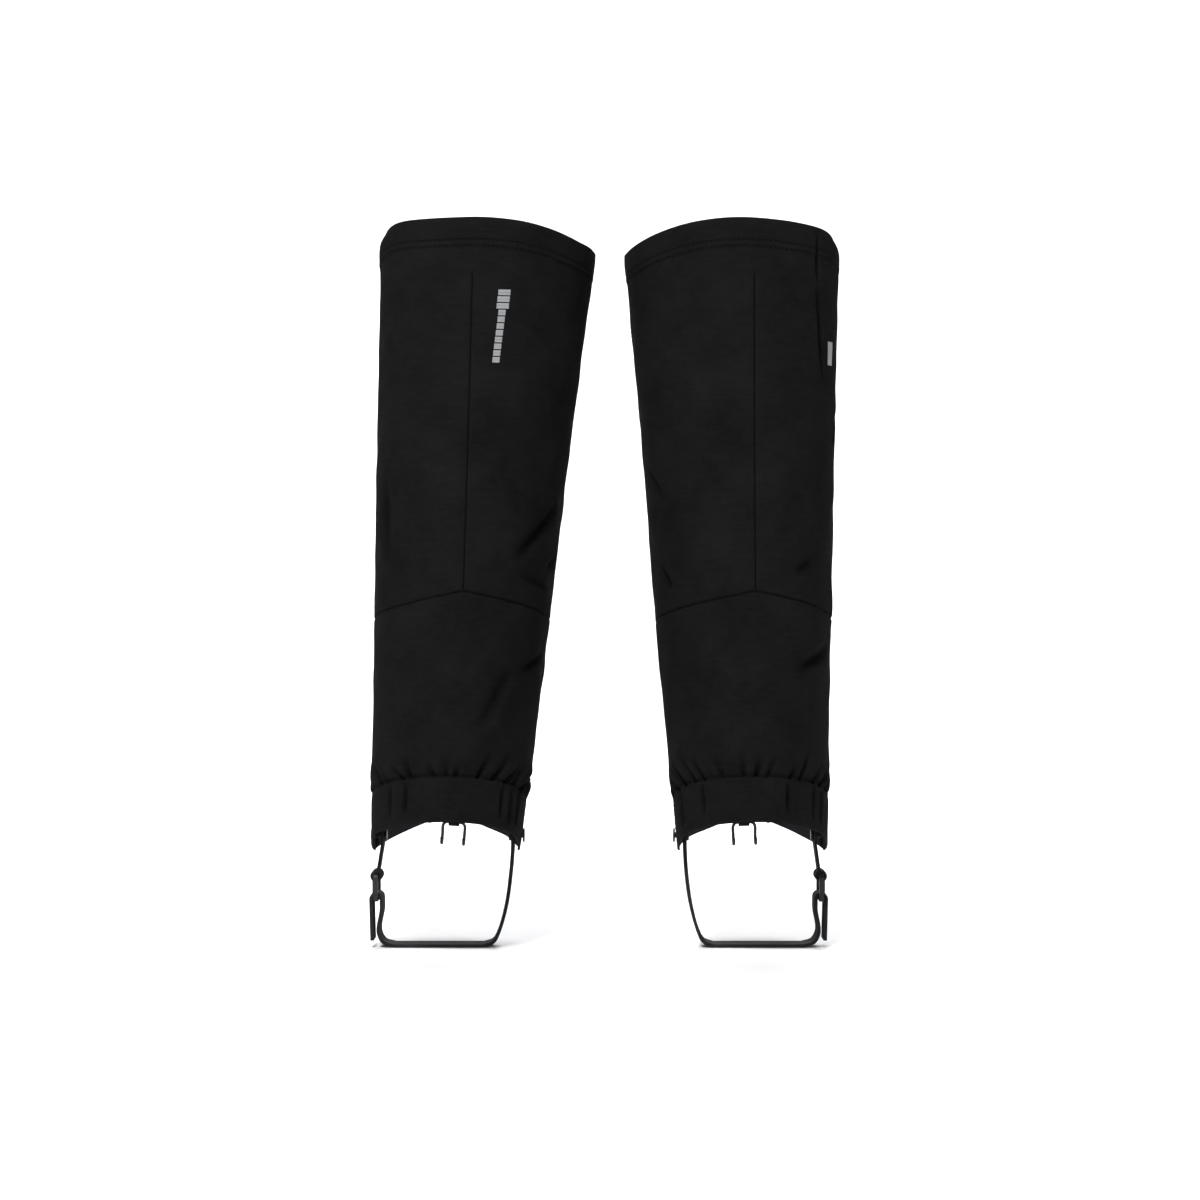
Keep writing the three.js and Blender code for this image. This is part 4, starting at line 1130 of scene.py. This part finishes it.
def rounded_copy(node_name, material, slot_name, body, bevel):
    """A copy of a frame node with rounded edges, the wear value and a map across its broad faces."""
    mesh = bpy.data.objects[node_name].data.copy()
    mesh.materials.clear()
    work = bmesh.new()
    work.from_mesh(mesh)
    bmesh.ops.remove_doubles(work, verts=work.verts, dist=2e-6)
    bmesh.ops.dissolve_limit(work, angle_limit=math.radians(0.6), verts=work.verts, edges=work.edges)
    corners = [e for e in work.edges if len(e.link_faces) == 2 and e.calc_face_angle() > SHARP]
    rounded = bmesh.ops.bevel(work, geom=corners, offset=bevel, segments=2, profile=0.5, affect="EDGES",
                              clamp_overlap=True)
    wear = work.verts.layers.float.new("wear")
    for face in rounded["faces"]:
        for vert in face.verts:
            vert[wear] = 1.0
    bmesh.ops.triangulate(work, faces=[f for f in work.faces if len(f.verts) > 4])
    bmesh.ops.recalc_face_normals(work, faces=work.faces)
    uv = work.loops.layers.uv.new("cloth")
    for face in work.faces:
        flat = max(range(3), key=lambda k: abs(face.normal[k]))
        for loop in face.loops:
            x, y, z = loop.vert.co
            loop[uv].uv = ((x + y, z), (x, z), (x, y))[flat] if slot_name != "strap_rubber" else (y, x + z)
    work.to_mesh(mesh)
    work.free()
    mesh.polygons.foreach_set("use_smooth", np.ones(len(mesh.polygons), bool))
    mesh.set_sharp_from_angle(angle=math.radians(50))
    mesh.materials.append(material)
    piece = new_object(node_name + "_finished", mesh)
    piece.modifiers.new("normals", "WEIGHTED_NORMAL").keep_sharp = True
    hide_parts(node_name)
    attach(piece, body)
    return piece


HARDWARE = {
    "strap": (STRAP, "strap_rubber", "instep", 0.0004),
    "strap_tab": (STRAP, "strap_rubber", "instep", 0.0003),
    "buckle_frame": (STEEL, "steel", "instep", 0.0006),
    "buckle_prong": (STEEL, "steel", "tongue", 0.0003),
    "post_inner": (STEEL, "steel", "shell", 0.0003),
    "post_outer": (STEEL, "steel", "shell", 0.0003),
    "snap_cap": (STEEL, "steel", "closure", 0.0004),
    "snap_stud": (STEEL, "steel", "shell", 0.0003),
    "lace_hook": (STEEL, "steel", "hook", 0.0001),
    "lace_tab": (WEBBING, "webbing", "shell", 0.0002),
    "cinch_webbing": (WEBBING, "webbing", "shell", 0.0003),
    "cinch_anchor": (WEBBING, "webbing", "shell", 0.0003),
    "cinch_buckle": (NYLON, "plastic", "shell", 0.0004),
}
for leg in LEGS:
    for part, (material, slot_name, body, bevel) in HARDWARE.items():
        piece = rounded_copy(f"{leg}_{part}", material, slot_name, f"{leg}_{body}", bevel)
        print(piece.name, len(piece.data.polygons), "faces")

# %% [markdown]
# ## Bar tacks
#
# Webbing ends carry the load, so each is sewn down with a small box of close rows, a bar tack. The rows
# are laid over the piece from outside and pressed on to it, so they follow its curve exactly.

# %% Bar tacks
CINCH_PHI, CINCH_DROP, CINCH_RADIUS = 142.0, 0.011, 0.0712
TACK_HALF_WIDE, TACK_HALF_TALL, TACK_ROWS = 0.0026, 0.0046, 5


def press_on(piece, points, out):
    """Points moved inwards on to a piece, with its outward direction there; misses are left out."""
    tree = BVHTree.FromObject(piece, bpy.context.evaluated_depsgraph_get())
    kept = []
    for point, direction in zip(points, out):
        at, normal, _, _ = tree.ray_cast(Vector(point) + 0.008 * Vector(direction), -Vector(direction), 0.014)
        if at is not None:
            kept.append((np.array(at), np.array(normal)))
    return np.array([k[0] for k in kept]), np.array([k[1] for k in kept])


def tack_box(leg, x):
    """Upright rows round a place `x` metres forward of the cinch buckle."""
    middle = float(rim_z(leg, np.array(CINCH_PHI))) - CINCH_DROP
    for step in np.linspace(-TACK_HALF_WIDE, TACK_HALF_WIDE, TACK_ROWS):
        phi = CINCH_PHI + math.degrees((x + step) / CINCH_RADIUS)
        yield upright(leg, phi, middle - TACK_HALF_TALL, middle + TACK_HALF_TALL)


for leg in LEGS:
    rows = []
    for part, x in (("cinch_webbing", -0.0310), ("cinch_anchor", 0.0140)):
        piece = bpy.data.objects[f"{leg}_{part}_finished"]
        for points, out, _ in tack_box(leg, x):
            at, normal = press_on(piece, points, out)
            if len(at) > 1:
                rows.append((at + 0.0001 * normal, normal, unit(np.gradient(at, axis=0))))
    sew(f"{leg}_bar_tacks", f"{leg}_shell", rows, length=0.0021)

# %% [markdown]
# ## Reflective marks
#
# Reflective print helps a walker to be seen at night. It is a plain ladder of bars, glued to the cloth
# as a thin film: an upright one beside the back seam of the left gaiter, and a short one on the outer
# side of the right. Bars with no letters keep the part generic.

# %% Reflective bars
FILM = grained("reflective_film", (0.42, 0.43, 0.44), 0.4, 0.5, 2600.0, 2.0, (0.4, 0.00004),
               tones=((0.14, 0.145, 0.15), (0.34, 0.345, 0.35)), gloss=(0.3, 0.5))
FILM_OFF, FILM_THICK = 0.00018, 0.00014
BAR_GAP = 0.0026


def level_line(z):
    """An edge line at one height."""
    return lambda leg, phi: np.full(np.shape(phi), z)


def bar(name, leg, phi, z, wide, tall):
    """One bar of film at an angle and height."""
    turn = math.degrees(wide / 2 / half_width(z))
    low, high = level_line(z - tall / 2), level_line(z + tall / 2)
    return cut_cloth(name, leg, (phi - turn, phi + turn), low, high, FILM_OFF, FILM_THICK, step=0.0012)[0]


def merge(name, pieces):
    """Joins pieces into one mesh."""
    work = bmesh.new()
    for piece in pieces:
        work.from_mesh(piece.data)
        bpy.data.objects.remove(piece)
    mesh = bpy.data.meshes.new(name)
    work.to_mesh(mesh)
    work.free()
    return new_object(name, mesh)


def ladder(name, leg, phi, top, bars, lean):
    """Bars one under the other. `lean` is how far they drift round the leg in 50 mm, in degrees."""
    pieces = []
    z = top
    for i, (wide, tall) in enumerate(bars):
        pieces.append(bar(f"{name}_{i}", leg, phi + lean * (top - z) / 0.05, z - tall / 2, wide, tall))
        z -= tall + BAR_GAP
    joined = merge(name, pieces)
    joined.data.materials.append(FILM)
    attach(joined, f"{leg}_shell")
    print(name, len(joined.data.polygons), "faces")


ladder("left_reflective_bars", "left", -13, 0.449, [(0.0082, 0.0019)] * 3 + [(0.0048, 0.0019)] * 8, 1.6)
ladder("right_reflective_bars", "right", 62, 0.417, [(0.0075, 0.0013)] * 4, 0.5)
